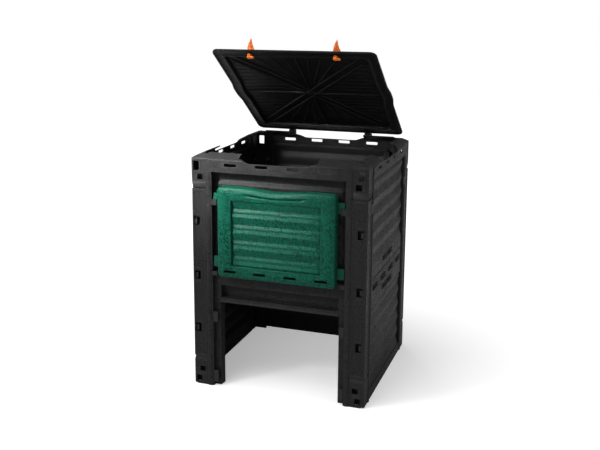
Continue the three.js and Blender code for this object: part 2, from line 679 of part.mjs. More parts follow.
addToLid('lid', lid(), BLACK);
addToLid('latch_knob_left', latchKnob(-1), ORANGE);
addToLid('latch_knob_right', latchKnob(1), ORANGE);
addToLid('latch_cam_left', latchCam(-1), ORANGE);
addToLid('latch_cam_right', latchCam(1), ORANGE);

export default bin;
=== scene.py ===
"""Square compost bin in moulded plastic: walls, corner clips, harvest door, lid, hinges and latches."""

import json
import math

import bmesh
import bpy
import numpy as np
from mathutils import Matrix, Vector


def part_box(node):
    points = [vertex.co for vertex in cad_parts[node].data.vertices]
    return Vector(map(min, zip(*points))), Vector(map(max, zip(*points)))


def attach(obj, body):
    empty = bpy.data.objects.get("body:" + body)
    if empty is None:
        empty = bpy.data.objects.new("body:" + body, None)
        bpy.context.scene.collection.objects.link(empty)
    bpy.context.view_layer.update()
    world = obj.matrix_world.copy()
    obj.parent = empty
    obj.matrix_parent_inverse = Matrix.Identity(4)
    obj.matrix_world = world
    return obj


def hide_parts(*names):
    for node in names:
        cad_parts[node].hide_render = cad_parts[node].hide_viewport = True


bl_info = {
    "name": "Square compost bin",
    "version": (1, 0, 0),
    "blender": (4, 5, 0),
    "location": "3D View > Sidebar > Compost bin",
    "description": "Builds the moulded walls, door, lid and latches of a square compost bin",
    "category": "Object",
}

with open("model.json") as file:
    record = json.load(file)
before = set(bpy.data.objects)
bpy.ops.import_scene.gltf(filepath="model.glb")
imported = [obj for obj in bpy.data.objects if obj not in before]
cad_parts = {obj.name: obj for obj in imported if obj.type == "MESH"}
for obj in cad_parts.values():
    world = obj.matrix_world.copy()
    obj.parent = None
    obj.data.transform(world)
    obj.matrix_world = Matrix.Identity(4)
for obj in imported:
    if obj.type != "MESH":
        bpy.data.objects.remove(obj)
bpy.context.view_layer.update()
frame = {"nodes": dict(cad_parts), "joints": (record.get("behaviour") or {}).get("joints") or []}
MM = 0.001

# ------------------------------------------------------------------ places taken from the frame

SIDE_LO, SIDE_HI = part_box("left_wall")
HALF = (SIDE_HI.y - SIDE_LO.y) / 2 / MM
CENTRE_Y = (SIDE_HI.y + SIDE_LO.y) / 2
LID_HINGE = next(j for j in frame["joints"] if j["name"] == "lid_hinge")
HINGE_POINT = Vector(LID_HINGE["pos_m"])
LID_OPEN = -math.radians(LID_HINGE["range_deg"][0])
LID_TURN = Matrix.Rotation(-LID_OPEN, 3, "X")
# Quarter turns from the front wall to each wall with vents
VENTED_WALLS = {"right_wall": 1, "back_wall": 2, "left_wall": 3}
CORNERS = ("front_right", "back_right", "back_left", "front_left")

# ------------------------------------------------------------------ moulded sizes, in millimetres

SKIN = 4.0
GAP = 0.3                      # between two pieces
STEP_EASE = 1.2                # width over which a step in a wall is eased
BEND_EASE = 1.4                # the same for a gentler step
PAD_EASE = 2.4                 # the same for the edge of the header's pad
EVERYWHERE = -1e3              # lower end of a band that has none
WALL_TOP = 807.0
WALL_END = HALF - 5.3          # the front and back walls stand between the side walls
EDGE_ROUND = 2.2
FOOT_ROUND = 8.0
POST_DROP = 4.5                # the tops of the posts are lowered by this, from this level on
POST_DROP_FROM = 797.0
COLLAR_IN = 30.0
COLLAR_RISE = 16.0
RIM = WALL_TOP + COLLAR_RISE
FIELD = 232.0
FIELD_EDGE = FIELD + GAP
RELIEF_HALF = 221.0
HEADER = (762.0, 803.0)
HEADER_HALF = 251.0
BEAD = (236.0, 253.0)
BEAD_TOP = 776.0
BEAD_NOTCH = (649.0, 681.0)
PROUD = 3.0
LOUVRE_PITCH = 54.0
# Louvres: depth of the crest and the valley, level of the highest valley, how softly the corners are
# rounded, and the steps, each a share of the way out of the valley and the drop at which it is reached
FRONT_RELIEF = (17.0, 27.0, 735.0, 1.6, ((0, 3), (1, 15)))
SIDE_RELIEF = (2.0, 10.0, 715.0, 4.0, ((0, 0), (1, 27)))
BAND = (320.0, 470.0)
SEAM = 418.0
FOOT = 35.0
RAIL = (302.0, 418.0)
RAIL_FACE = 16.5
NICHE = (322.0, 366.0)
NICHE_BACK = 40.0
OPENING_HALF = 208.0
JAMB_BACK = 40.0
SLOTS = (-163.5, -54.5, 54.5, 163.5)
SLOT_LEVEL = 788.0
DIP_TOP = 136.0
DIP_BOTTOM = 95.0
DIP_DEPTH = 10.0
HOOK_HOLES = ((764, 796), (574, 605), (383, 414), (193, 225), (10, 32))
HOOK_X = (272.0, 293.0)
HOOK_SHIFT = 5.0               # the left post's hook holes stand this far further out
HOOK_SUNK = 3.5
MIDDLE_HOLES = HOOK_HOLES[1:4]
STRIP_BEHIND = 24.0
STRIP_DEPTH = (4.3, 50.0)
PEG_HOLES = ((733, 754), (47, 67))
PEG_X = (263.0, 285.0)
CLIPS = ((702, 726), (85, 105))
CLIP_INNER = 253.0
LUGS = ((15, 58), (236, 273), (403, 417), (649, 669))
LUG_X = (215.5, 235.0)
VENTS = ((452, (-37, 37)), (386, (-174, -58, 58, 174)), (349, (-37, 37)))
VENT_HALF = 30.0
VENT_LIP = 4.6
EAR_ROUND = 7.0
EAR_INNER = 8.3                # from the middle of a hinge to the inside of its ears
POST_PANEL = (262.0, 296.0, 113.0, 693.0)

DOOR_LO, DOOR_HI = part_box("harvest_door")
DOOR_TOP = DOOR_HI.z / MM
DOOR_BOTTOM = DOOR_LO.z / MM
DOOR_HALF = 205.0
DOOR_FRONT = -25.0
DOOR_BACK = 12.8
PANEL_HALF = 155.0
PANEL_BOTTOM = DOOR_BOTTOM + 41.0
PANEL_TOP = DOOR_TOP - 44.0
DOOR_SLOTS = (-159.0, -53.0, 53.0, 159.0)
DOOR_SLOT_HALF = 22.0
DOOR_SLOT_LEVELS = (DOOR_BOTTOM + 17.5, DOOR_BOTTOM + 26.5)
TABS = ((434, 471), (653, 690))
TAB_X = (200.0, 229.0)
TAB_FRONT = 4.8

LID_HALF = 286.0
LID_FRONT = -282.0
LID_BACK = 286.0
LID_CENTRE = (LID_FRONT + LID_BACK) / 2
LID_CORNER = 22.0
LID_FLOOR = 823.5
BUMP_OUT = 8.0
BUMP_HALF = 55.0
CROWN_UNDER = 834.0
STAR_REACH = LID_HALF - 38.5
RIB_REACH = LID_HALF - 40
STAR_GAP = 14                  # from a diagonal to each of the two ribs beside it
HINGE_Y = 295.0
HINGE_Z = 822.0
HINGE_X = 150.0
KNUCKLE_HALF = 8
ROUND_SIDES = 24
LATCH_X = 150.0
LATCH_Y = LID_FRONT + 20.0
LATCH_SEAT = LID_FLOOR + SKIN + GAP
FIN_SIDES = 20

# ------------------------------------------------------------------ stage, in metres

FLOOR_RADIUS = 9
FLOOR_SIDES = 64
FLOOR_GLOW = 0.36              # keeps the floor pale where it is looked at, and adds no light
MIDDLE = Vector((0, CENTRE_Y, 0.5))
HEADER_END = Vector((-0.24, CENTRE_Y - HALF * MM, 0.86))
# Name, place, aim, size, spread in degrees, power and tint
LIGHTS = (
    ("key", (-1.7, -2.0, 1.9), MIDDLE, 0.7, 180, 19, (1, 0.985, 0.97)),
    ("fill", (2.0, -1.1, 1.75), MIDDLE, 0.8, 180, 2.4, (0.97, 0.985, 1)),
    ("rim", (-1.8, 3.2, 0.75), MIDDLE, 1.2, 180, 24, (1, 1, 1)),
    ("accent", (-1.2, -1.6, 1.9), HEADER_END, 0.2, 20, 2.7, (1, 1, 1)),
)
OVERHEAD_PLACE = (-1.2, -1.5, 4)
OVERHEAD_WIDTH = 50            # degrees of sky that the overhead light fills
CAMERA_AIM = Vector((-0.13644, CENTRE_Y, 0.64974))
CAMERA_SHIFT = (0.05, -0.06)


# ------------------------------------------------------------------ settings

class BinWallSettings(bpy.types.PropertyGroup):
    """Moulded details of the four walls"""
    pitch: bpy.props.FloatProperty(
        name="Louvre pitch", description="Height of one louvre", default=LOUVRE_PITCH * MM,
        unit="LENGTH")
    end_round: bpy.props.FloatProperty(
        name="Louvre end", description="Length over which a louvre's end is rounded",
        default=15 * MM, unit="LENGTH")
    slot_width: bpy.props.FloatProperty(
        name="Header slot width", description="Width of the slots in the header",
        default=44 * MM, unit="LENGTH")
    slot_height: bpy.props.FloatProperty(
        name="Header slot height", description="Height of the slots in the header",
        default=10.5 * MM, unit="LENGTH")
    vent_height: bpy.props.FloatProperty(
        name="Vent height", description="Height of the air vents", default=8 * MM, unit="LENGTH")


class BinDoorSettings(bpy.types.PropertyGroup):
    """Grip, corners and louvres of the harvest door"""
    grip_half: bpy.props.FloatProperty(
        name="Grip half width", description="Half the width of the dip in the door's top edge",
        default=118 * MM, unit="LENGTH")
    grip_depth: bpy.props.FloatProperty(
        name="Grip depth", description="Depth of the dip in the door's top edge",
        default=7 * MM, unit="LENGTH")
    corner: bpy.props.FloatProperty(
        name="Corner radius", description="Radius of the door's corners", default=13 * MM, unit="LENGTH")
    louvre_depth: bpy.props.FloatProperty(
        name="Louvre depth", description="Depth of the louvres in the panel",
        default=9 * MM, unit="LENGTH")


class BinLidSettings(bpy.types.PropertyGroup):
    """Ribs under the lid"""
    rib_width: bpy.props.FloatProperty(
        name="Rib width", description="Width of the stiffening ribs", default=4.2 * MM, unit="LENGTH")
    rib_height: bpy.props.FloatProperty(
        name="Rib height", description="Height of the stiffening ribs", default=5.5 * MM, unit="LENGTH")
    fine_width: bpy.props.FloatProperty(
        name="Fine rib width", description="Width of the fine ribs between them",
        default=5 * MM, unit="LENGTH")
    fine_height: bpy.props.FloatProperty(
        name="Fine rib height", description="Height of the fine ribs", default=1.6 * MM, unit="LENGTH")
    fine_pitch: bpy.props.FloatProperty(
        name="Fine rib pitch", description="Distance between the fine ribs",
        default=24 * MM, unit="LENGTH")


class BinFinishSettings(bpy.types.PropertyGroup):
    """Colours and grain of the plastics"""
    black: bpy.props.FloatVectorProperty(
        name="Black plastic", description="Colour of the walls and the lid",
        default=(0.0104, 0.0104, 0.0107), subtype="COLOR", min=0, max=1)
    green: bpy.props.FloatVectorProperty(
        name="Green plastic", description="Colour of the harvest door",
        default=(0.0007, 0.046, 0.027), subtype="COLOR", min=0, max=1)
    orange: bpy.props.FloatVectorProperty(
        name="Orange plastic", description="Colour of the latches",
        default=(0.84, 0.125, 0.008), subtype="COLOR", min=0, max=1)
    # Painted shade: the lid is the walls' black plastic, given a deeper colour so that it reads darker
    lid_shaded_black: bpy.props.FloatVectorProperty(
        name="Lid black", description="Colour of the lid, deeper than that of the walls",
        default=(0.0035, 0.0035, 0.0038), subtype="COLOR", min=0, max=1)
    grain: bpy.props.FloatProperty(
        name="Grain depth", description="Depth of the moulded grain", default=0.45 * MM, unit="LENGTH")


class BinStageSettings(bpy.types.PropertyGroup):
    """Floor, light and camera"""
    floor: bpy.props.FloatVectorProperty(
        name="Floor", description="Colour of the floor", default=(0.9, 0.9, 0.9),
        subtype="COLOR", min=0, max=1)
    ambient: bpy.props.FloatProperty(
        name="Ambient light", description="Strength of the even light from all round",
        default=0.36, min=0)
    overhead: bpy.props.FloatProperty(
        name="Overhead light", description="Strength of the broad light from above the front left",
        default=1.7, min=0)
    lens: bpy.props.FloatProperty(
        name="Lens", description="Focal length of the camera in millimetres", default=53.45)
    distance: bpy.props.FloatProperty(
        name="Distance", description="From the camera to the point that it looks at",
        default=3.2355, unit="LENGTH")
    azimuth: bpy.props.FloatProperty(
        name="Azimuth", description="Angle of the camera to the right of the front",
        default=math.radians(20.25), unit="ROTATION")
    elevation: bpy.props.FloatProperty(
        name="Elevation", description="Angle of the camera above the horizon",
        default=math.radians(12.04), unit="ROTATION")


# ------------------------------------------------------------------ small tools

def ease(t):
    """0 to 1 with a slow start and end."""
    t = np.clip(t, 0, 1)
    return t * t * (3 - 2 * t)


def within(v, low, high, width):
    """1 between two levels and 0 outside, with an eased edge."""
    return ease((v - low) / width + 0.5) * ease((high - v) / width + 0.5)


def rounded_box_distance(x, z, x0, x1, z0, z1, radius):
    """Distance outside a rectangle with rounded corners, negative inside it."""
    dx = np.abs(x - (x0 + x1) / 2) - (x1 - x0) / 2 + radius
    dz = np.abs(z - (z0 + z1) / 2) - (z1 - z0) / 2 + radius
    outside = np.hypot(np.maximum(dx, 0), np.maximum(dz, 0))
    return outside + np.minimum(np.maximum(dx, dz), 0) - radius


def edge_lines(value, width):
    """Lines that follow an eased step."""
    return [value + width * k for k in (-0.5, -0.25, 0, 0.25, 0.5)]


def grid_lines(values, low, high, step):
    """Sorted lines between two ends, with no gap wider than step."""
    kept = sorted({round(v, 3) for v in values if low < v < high} | {low, high})
    lines = []
    for a, b in zip(kept, kept[1:]):
        count = max(1, math.ceil((b - a) / step))
        lines += [a + (b - a) * k / count for k in range(count)]
    return np.array(lines + [high])


def both(values):
    """Every value on both sides of the middle."""
    return [s * v for v in values for s in (-1, 1)]


def wall_place(turns):
    """Takes (x, depth, z) of a wall in millimetres to its place in the frame, in metres."""
    c, s = round(math.cos(turns * math.pi / 2)), round(math.sin(turns * math.pi / 2))

    def place(x, depth, z):
        y = depth - HALF
        return np.stack([(c * x - s * y) * MM, (s * x + c * y) * MM + CENTRE_Y, z * MM], -1)

    return place


def lid_place(x, y, z):
    """Takes a point of the closed lid in millimetres to its place on the open lid, in metres."""
    points = np.stack(np.broadcast_arrays(x, y - HINGE_Y, z - HINGE_Z), -1).astype(float) * MM
    return points @ np.array(LID_TURN).T + np.array(HINGE_POINT)


def new_object(name, vertices, faces, material=None):
    """New smooth piece in the scene, with its place in its mesh."""
    mesh = bpy.data.meshes.new(name)
    mesh.from_pydata([tuple(v) for v in vertices], [], [tuple(f) for f in faces])
    obj = bpy.data.objects.new(name, mesh)
    bpy.context.scene.collection.objects.link(obj)
    if material:
        mesh.materials.append(material)
    mesh.shade_smooth()
    return obj


def clean(obj, distance=2e-6, outward=False):
    """Merges doubled points, drops collapsed faces and, on a closed piece, turns the faces outwards."""
    bm = bmesh.new()
    bm.from_mesh(obj.data)
    bmesh.ops.remove_doubles(bm, verts=bm.verts, dist=distance)
    bmesh.ops.dissolve_degenerate(bm, dist=distance, edges=bm.edges)
    loose = [v for v in bm.verts if not v.link_faces]
    bmesh.ops.delete(bm, geom=loose, context="VERTS")
    if outward:
        bmesh.ops.recalc_face_normals(bm, faces=bm.faces)
    bm.to_mesh(obj.data)
    bm.free()
    return obj


def finished(obj):
    """Applies every modifier of obj and returns it as a plain mesh."""
    graph = bpy.context.evaluated_depsgraph_get()
    mesh = bpy.data.meshes.new_from_object(obj.evaluated_get(graph))
    obj.modifiers.clear()
    old = obj.data
    obj.data = mesh
    mesh.name = obj.name
    bpy.data.meshes.remove(old)
    return obj


def join(target, *others):
    """Joins others into target, keeping target's name and its one material."""
    bm = bmesh.new()
    bm.from_mesh(target.data)
    for other in others:
        bm.from_mesh(other.data)
        bpy.data.objects.remove(other)
    for face in bm.faces:
        face.material_index = 0
    bm.to_mesh(target.data)
    bm.free()
    return target


def bevelled(obj, width):
    """Plain mesh of obj with its edges rounded over a width in millimetres."""
    bevel = obj.modifiers.new("Soft edges", "BEVEL")
    bevel.width = width * MM
    bevel.segments = 2
    bevel.limit_method = "ANGLE"
    bevel.angle_limit = math.radians(30)
    bevel.harden_normals = True
    return finished(obj)


def smooth_by_angle(obj, degrees):
    """Smooth shading with sharp edges only where two faces meet at more than an angle."""
    obj.data.shade_smooth()
    obj.data.set_sharp_from_angle(angle=math.radians(degrees))
    return obj


BLOCK_FACES = ((0, 1, 3, 2), (4, 6, 7, 5), (0, 4, 5, 1), (2, 3, 7, 6), (0, 2, 6, 4), (1, 5, 7, 3))


def block(name, x, d, z, place, material, width):
    """Block of a wall between two values on each axis, with softened edges."""
    grid = np.array([(a, b, c) for a in x for b in d for c in z], float)
    obj = new_object(name, place(grid[:, 0], grid[:, 1], grid[:, 2]), BLOCK_FACES, material)
    return bevelled(clean(obj, outward=True), width)


def soft_copy(node, material, width):
    """Copy of a CAD node with its flat faces merged and its edges softened."""
    source = frame["nodes"][node]
    obj = bpy.data.objects.new(f"{node}_soft", source.data.copy())
    bpy.context.scene.collection.objects.link(obj)
    obj.data.materials.clear()
    obj.data.materials.append(material)
    bm = bmesh.new()
    bm.from_mesh(obj.data)
    bmesh.ops.remove_doubles(bm, verts=bm.verts, dist=1e-5)
    bmesh.ops.dissolve_limit(bm, angle_limit=math.radians(1), verts=bm.verts, edges=bm.edges)
    bm.to_mesh(obj.data)
    bm.free()
    return smooth_by_angle(bevelled(obj, width), 35)


# ------------------------------------------------------------------ moulded skins drawn as grids

def moulded_skin(name, across, up, face, place, material, holes, trim):
    """Closed skin between an outer surface and the surface behind it, with holes through it.

    face(x, z) is the depth of the outer surface. The back of the skin keeps a wall thickness from it
    in every direction. A hole is (x0, x1, z0, z1, corner radius). trim draws the grid in at its ends.
    """
    xs, zs = np.meshgrid(across, up, indexing="ij")
    keep = np.ones((len(across) - 1, len(up) - 1), bool)
    mid_x = (across[:-1] + across[1:]) / 2
    mid_z = (up[:-1] + up[1:]) / 2
    for x0, x1, z0, z1, radius in holes:
        inside_x = (mid_x > x0) & (mid_x < x1)
        inside_z = (mid_z > z0) & (mid_z < z1)
        keep &= ~(inside_x[:, None] & inside_z[None, :])
        for x, hand in ((x0, 1), (x1, -1)):
            for z, rise in ((z0, 1), (z1, -1)):
                i, j = np.argmin(np.abs(across - x)), np.argmin(np.abs(up - z))
                if radius and 0 < i < len(across) - 1 and 0 < j < len(up) - 1:
                    xs[i, j] += hand * 0.29 * radius
                    zs[i, j] += rise * 0.29 * radius
    xs, zs = trim(xs, zs)
    outer = face(xs, zs)
    behind = np.maximum.reduce(
        [outer] + [face(xs + dx, zs + dz) for dx, dz in ((-3, 0), (3, 0), (0, -3), (0, 3))])
    behind = behind + SKIN
    count = xs.size
    index = np.arange(count).reshape(xs.shape)
    a, b, c, d = index[:-1, :-1], index[1:, :-1], index[1:, 1:], index[:-1, 1:]
    faces = [np.stack([q[keep] for q in (a, b, c, d)], -1)]
    faces.append(np.stack([q[keep] + count for q in (d, c, b, a)], -1))
    padded = np.pad(keep, 1)
    for shift, (p, q) in (((-1, 0), (a, d)), ((1, 0), (c, b)), ((0, -1), (b, a)), ((0, 1), (d, c))):
        neighbour = padded[1 + shift[0]:padded.shape[0] - 1 + shift[0],
                           1 + shift[1]:padded.shape[1] - 1 + shift[1]]
        rim = keep & ~neighbour
        faces.append(np.stack([p[rim], q[rim], q[rim] + count, p[rim] + count], -1))
    points = np.concatenate([
        place(xs.ravel(), outer.ravel(), zs.ravel()), place(xs.ravel(), behind.ravel(), zs.ravel())])
    obj = new_object(name, points, np.concatenate(faces), material)
    return smooth_by_angle(clean(obj), 50)


def louvre_depth(z, settings, relief):
    """Depth of the louvres at a height."""
    crest, valley, first, soft, steps = relief
    shares, drops = zip(*steps)
    total = 0
    for offset in np.linspace(-soft, soft, 5):
        total = total + np.interp(first - z - offset, drops, shares, period=settings.pitch / MM)
    return valley - (valley - crest) * total / 5


def louvre_lines(settings, relief, low, high):
    """Levels of a wall's grid that follow the corners of its louvres."""
    first, soft, steps = relief[2:]
    lines = [first - k * settings.pitch / MM - drop + 1.5 * soft * e
             for k in range(-2, 18) for _, drop in steps for e in (-1, -0.5, 0, 0.5, 1)]
    return [v for v in lines if low + 2 < v < high - 2]


def louvred_field(x, z, settings, relief):
    """Louvres whose ends are rounded off before they reach the flanks."""
    valley = relief[1]
    reach = settings.end_round / MM
    start = RELIEF_HALF - 1 - reach
    t = np.clip((np.abs(x) - start) / reach, 0, 1)
    return valley - (valley - louvre_depth(z, settings, relief)) * np.sqrt(1 - t ** 2)


def post_and_header(x, z):
    """Depth of what all four walls share outside their middle field."""
    ax = np.abs(x)
    middle = sum(BEAD) / 2
    reach = (BEAD[1] - BEAD[0]) / 2
    notch = 1 - within(z, *BEAD_NOTCH, 4)
    bead = PROUD * np.sqrt(np.clip(1 - ((ax - middle) / reach) ** 2, 0, 1))
    bead = bead * notch * ease((BEAD_TOP - z) / 8)
    pad = PROUD * ease(0.5 - rounded_box_distance(
        x, z, -HEADER_HALF, HEADER_HALF, HEADER[0] - 20, HEADER[1] + 0.5, 16) / PAD_EASE)
    pad = pad * ease((z - HEADER[0]) / STEP_EASE + 0.5)
    sunk = ease(0.5 - rounded_box_distance(ax, z, *POST_PANEL, 4) / BEND_EASE)
    collar = np.clip((z - WALL_TOP) / COLLAR_RISE, 0, 1) * COLLAR_IN
    return -np.maximum(bead, pad) + sunk * 0.9 + collar


def raised_post_marks(x, z):
    """Bracket round the top hook hole, and a short ledge over each middle one."""
    ax = np.abs(x) - HOOK_SHIFT * (x < 0)
    ring = rounded_box_distance(ax, z, HOOK_X[0] - 6, HOOK_X[1] + 5.5, 757, 802, 9)
    marks = 1.3 * ease(1 - np.abs(ring + 1.6) / 2.2)
    for _, high in MIDDLE_HOLES:
        ledge = rounded_box_distance(ax, z, HOOK_X[0] - 3, HOOK_X[1] + 4, high + 4, high + 7.5, 1.5)
        marks = np.maximum(marks, 1.1 * ease(0.5 - ledge / 1.6))
    return marks


def front_face(settings):
    """Depth of the front wall's face: louvres above, then the rail with its niche and the opening."""
    def face(x, z):
        ax = np.abs(x)
        depth = post_and_header(x, z) - raised_post_marks(x, z)
        field = within(ax, EVERYWHERE, FIELD_EDGE, STEP_EASE)
        upper = field * within(z, RAIL[1], HEADER[0], STEP_EASE)
        depth = depth * (1 - upper) + louvred_field(x, z, settings, FRONT_RELIEF) * upper
        lower = field * within(z, EVERYWHERE, RAIL[1], STEP_EASE)
        niche = ease(0.5 - rounded_box_distance(
            x, z, -OPENING_HALF, OPENING_HALF, *NICHE, 3) / BEND_EASE)
        lip = within(z, RAIL[0] - 20, RAIL[0] + 12, 2) * within(ax, EVERYWHERE, OPENING_HALF + 3, 2)
        rail = RAIL_FACE - 2 * lip
        rail = rail * (1 - niche) + NICHE_BACK * niche
        opening = rounded_box_distance(x, z, -OPENING_HALF, OPENING_HALF, -900, RAIL[0], 0)
        turned_in = ease(1 - opening / 3)
        rail = rail * (1 - turned_in) + JAMB_BACK * turned_in
        return depth * (1 - lower) + rail * lower
    return face


def vented_face(settings, marks):
    """Depth of a wall with vents: louvres over its full height, with a flat band across them."""
    def face(x, z):
        ax = np.abs(x)
        depth = post_and_header(x, z)
        if marks:
            depth = depth - raised_post_marks(x, z)
        else:
            round_off = np.clip((ax - HALF + EDGE_ROUND) / EDGE_ROUND, 0, 1)
            depth = depth + EDGE_ROUND * (1 - np.sqrt(1 - 0.96 * round_off ** 2))
        sunk = within(ax, EVERYWHERE, FIELD_EDGE, STEP_EASE) * within(z, FOOT, HEADER[0], STEP_EASE)
        band = within(ax, EVERYWHERE, RELIEF_HALF, BEND_EASE) * within(z, *BAND, BEND_EASE)
        seam = 2 * within(z, SEAM - 1.6, SEAM + 1.6, STEP_EASE)
        field = louvred_field(x, z, settings, SIDE_RELIEF)
        middle = field * (1 - band) + (SIDE_RELIEF[0] + seam) * band
        return depth * (1 - sunk) + middle * sunk
    return face


def wall_trim(end):
    """Finger dip, lowered post tops, mitred collar and rounded feet."""
    def trim(xs, zs):
        ax = np.abs(xs)
        ramp = (ax - DIP_BOTTOM) / (DIP_TOP - DIP_BOTTOM)
        dip = WALL_TOP - DIP_DEPTH + (DIP_DEPTH + 2) * ease(ramp)
        zs = np.minimum(zs, np.where(ax < DIP_TOP, dip, RIM))
        zs = zs - POST_DROP * ease((ax - HEADER_HALF - 1) / 4) * ease((zs - POST_DROP_FROM) / 7)
        lean = np.clip((zs - WALL_TOP) / COLLAR_RISE, 0, 1) * COLLAR_IN
        limit = np.where(zs > WALL_TOP, HALF - GAP - lean, end)
        low = np.clip(FOOT_ROUND - zs, 0, FOOT_ROUND)
        limit = np.minimum(limit, end - FOOT_ROUND + np.sqrt(FOOT_ROUND ** 2 - low ** 2))
        return np.sign(xs) * np.minimum(ax, limit), zs
    return trim


def wall_lines(end, settings, relief):
    """Lines of a wall's grid, across one half of it and up it, that follow what is moulded in it."""
    half_slot = settings.slot_width / MM / 2
    across = [DIP_BOTTOM, DIP_TOP - 0.1, DIP_TOP + 0.1, 105, 115, 125, *BEAD, *PEG_X, CLIP_INNER]
    across += [BEAD[0] + k for k in (2, 4.5, 8.5, 12.5, 15, 16.2, 20)]
    across += [HEADER_HALF + 1.4, *edge_lines(FIELD_EDGE, STEP_EASE)]
    reach = settings.end_round / MM
    across += [RELIEF_HALF - 1 - reach * k for k in (0, 0.03, 0.1, 0.25, 0.45, 0.7, 1)]
    across += [v for h in POST_PANEL[:2] for v in edge_lines(h, BEND_EASE)]
    marks = (HOOK_X[0] - 6, HOOK_X[0] - 3, *HOOK_X, HOOK_X[1] + 2.5, HOOK_X[1] + 4, HOOK_X[1] + 5.5)
    across += [v + k for v in marks for k in (0, HOOK_SHIFT) if v + k < end - 1]
    across += [HEADER_HALF - k for k in (3, 7, 12, 16)]
    across += [end - k for k in (0.15, 0.4, 0.8, 1.3, 2.2, 3, 5)]
    for x in (v for v in SLOTS if v > 0):
        across += [x - half_slot, x - half_slot + 3, x + half_slot - 3, x + half_slot]
    half_height = settings.slot_height / MM / 2
    up = [SLOT_LEVEL + v for v in (-half_height, 3 - half_height, half_height - 3, half_height)]
    up += [*edge_lines(HEADER[0], STEP_EASE), *edge_lines(HEADER[1], PAD_EASE)]
    up += [POST_DROP_FROM + k for k in (-11, -6, 0, 2, 3.5)]
    up += [BEAD_TOP - k for k in (0, 3, 6)]
    up += [WALL_TOP + k for k in (-1.5, -0.5, 0, 0.8, 2, 5, 8, 12, 14.5)]
    up += [2, 4.5, FOOT_ROUND, *louvre_lines(settings, relief, FOOT, HEADER[0])]
    up += [v for pair in (*HOOK_HOLES, *PEG_HOLES, *CLIPS) for v in pair]
    up += [high + k for _, high in MIDDLE_HOLES for k in (3.3, 4.3, 7.2, 8.3)]
    up += [level + k for level in BEAD_NOTCH for k in (-2, -1, 2, 3)]
    up += [v for h in POST_PANEL[2:] for v in edge_lines(h, BEND_EASE)]
    return across, up


def shared_holes(settings, end, hooks):
    """Header slots, room for the clips and, in the posts, the holes for hooks and pegs."""
    w, h = settings.slot_width / MM / 2, settings.slot_height / MM / 2
    holes = [(x - w, x + w, SLOT_LEVEL - h, SLOT_LEVEL + h, 3) for x in SLOTS]
    for s in (-1, 1):
        holes += [(*sorted((s * CLIP_INNER, s * (end + 1))), low, high, 0) for low, high in CLIPS]
        if hooks:
            hook = [s * v - HOOK_SHIFT * (s < 0) for v in HOOK_X]
            holes += [(*sorted(hook), low, high, 2) for low, high in HOOK_HOLES]
            holes += [(*sorted((s * PEG_X[0], s * PEG_X[1])), low, high, 2) for low, high in PEG_HOLES]
    return holes


def wall_skin(name, turns, end, across, up, face, material, holes):
    """Skin of one wall on its own grid."""
    return moulded_skin(
        name, grid_lines(both(across), -end, end, 32), grid_lines(up, 0, RIM, 24),
        face, wall_place(turns), material, holes, wall_trim(end))


def make_front_wall(settings, material):
    """Front wall, with the lines of its rail, niche and opening added to the grid."""
    across, up = wall_lines(WALL_END, settings, FRONT_RELIEF)
    across += [OPENING_HALF + k for k in (-0.7, -0.35, 0, 0.35, 0.7, 1, 1.5, 2, 2.5, 3, 4)]
    up += [RAIL[0] + k for k in (0, 0.5, 1, 1.5, 2, 2.5, 3, 11, 11.5, 12, 12.5, 13)]
    up += [v for level in (*NICHE, RAIL[1]) for v in edge_lines(level, BEND_EASE)]
    up += [v for k in NICHE for v in (k - 3, k + 3)]
    holes = shared_holes(settings, WALL_END, True)
    holes.append((-OPENING_HALF, OPENING_HALF, -1, RAIL[0], 0))
    return wall_skin("front_wall_skin", 0, WALL_END, across, up, front_face(settings), material, holes)


def make_vented_wall(name, turns, hooks, settings, material):
    """Back or side wall, with the lines and holes of its vents added to the grid."""
    end = WALL_END if hooks else HALF
    across, up = wall_lines(end, settings, SIDE_RELIEF)
    across += edge_lines(RELIEF_HALF, BEND_EASE)
    for x in sorted({abs(x) for _, at in VENTS for x in at}):
        across += [x - VENT_HALF, x - VENT_HALF + 3, x + VENT_HALF - 3, x + VENT_HALF]
    half = settings.vent_height / MM / 2
    for level, _ in VENTS:
        up += [level - half, level - half + 3, level + half - 3, level + half]
    up += [v for level in (*BAND, FOOT) for v in edge_lines(level, BEND_EASE)]
    up += [v for level in (SEAM - 1.6, SEAM + 1.6) for v in edge_lines(level, STEP_EASE)]
    holes = shared_holes(settings, end, hooks)
    for level, at in VENTS:
        holes += [(x - VENT_HALF, x + VENT_HALF, level - half, level + half, 3) for x in at]
    return wall_skin(name, turns, end, across, up, vented_face(settings, hooks), material, holes)


def make_hook_strips(turns, place, material):
    """Strips of a side wall that close the hollow posts from behind, with the hooks in their holes."""
    made = []
    outer = HALF - STRIP_BEHIND
    for s in (-1, 1):
        start = HALF - HOOK_X[1] - HOOK_SHIFT * (s > 0) + 1
        made.append(block(f"strip_{turns}_{s}", sorted((s * (outer - SKIN), s * outer)), STRIP_DEPTH,
                          (0, HEADER[0] - SKIN), place, material, 1.0))
        for low, high in MIDDLE_HOLES:
            made.append(block(
                f"hook_{turns}_{s}_{low}", sorted((s * (outer - 1), s * (HALF - HOOK_SUNK))),
                (start, start + 9), (low + 4, high - 8), place, material, 1.2))
    return made


# ------------------------------------------------------------------ nodes

def wired(tree, kind, inputs, **options):
    """New node, with each input set to a value or linked to another node's output."""
    node = tree.nodes.new(kind)
    for key, value in options.items():
        setattr(node, key, value)
    for key, value in inputs.items():
        if isinstance(value, bpy.types.NodeSocket):
            tree.links.new(value, node.inputs[key])
        else:
            node.inputs[key].default_value = value
    return node


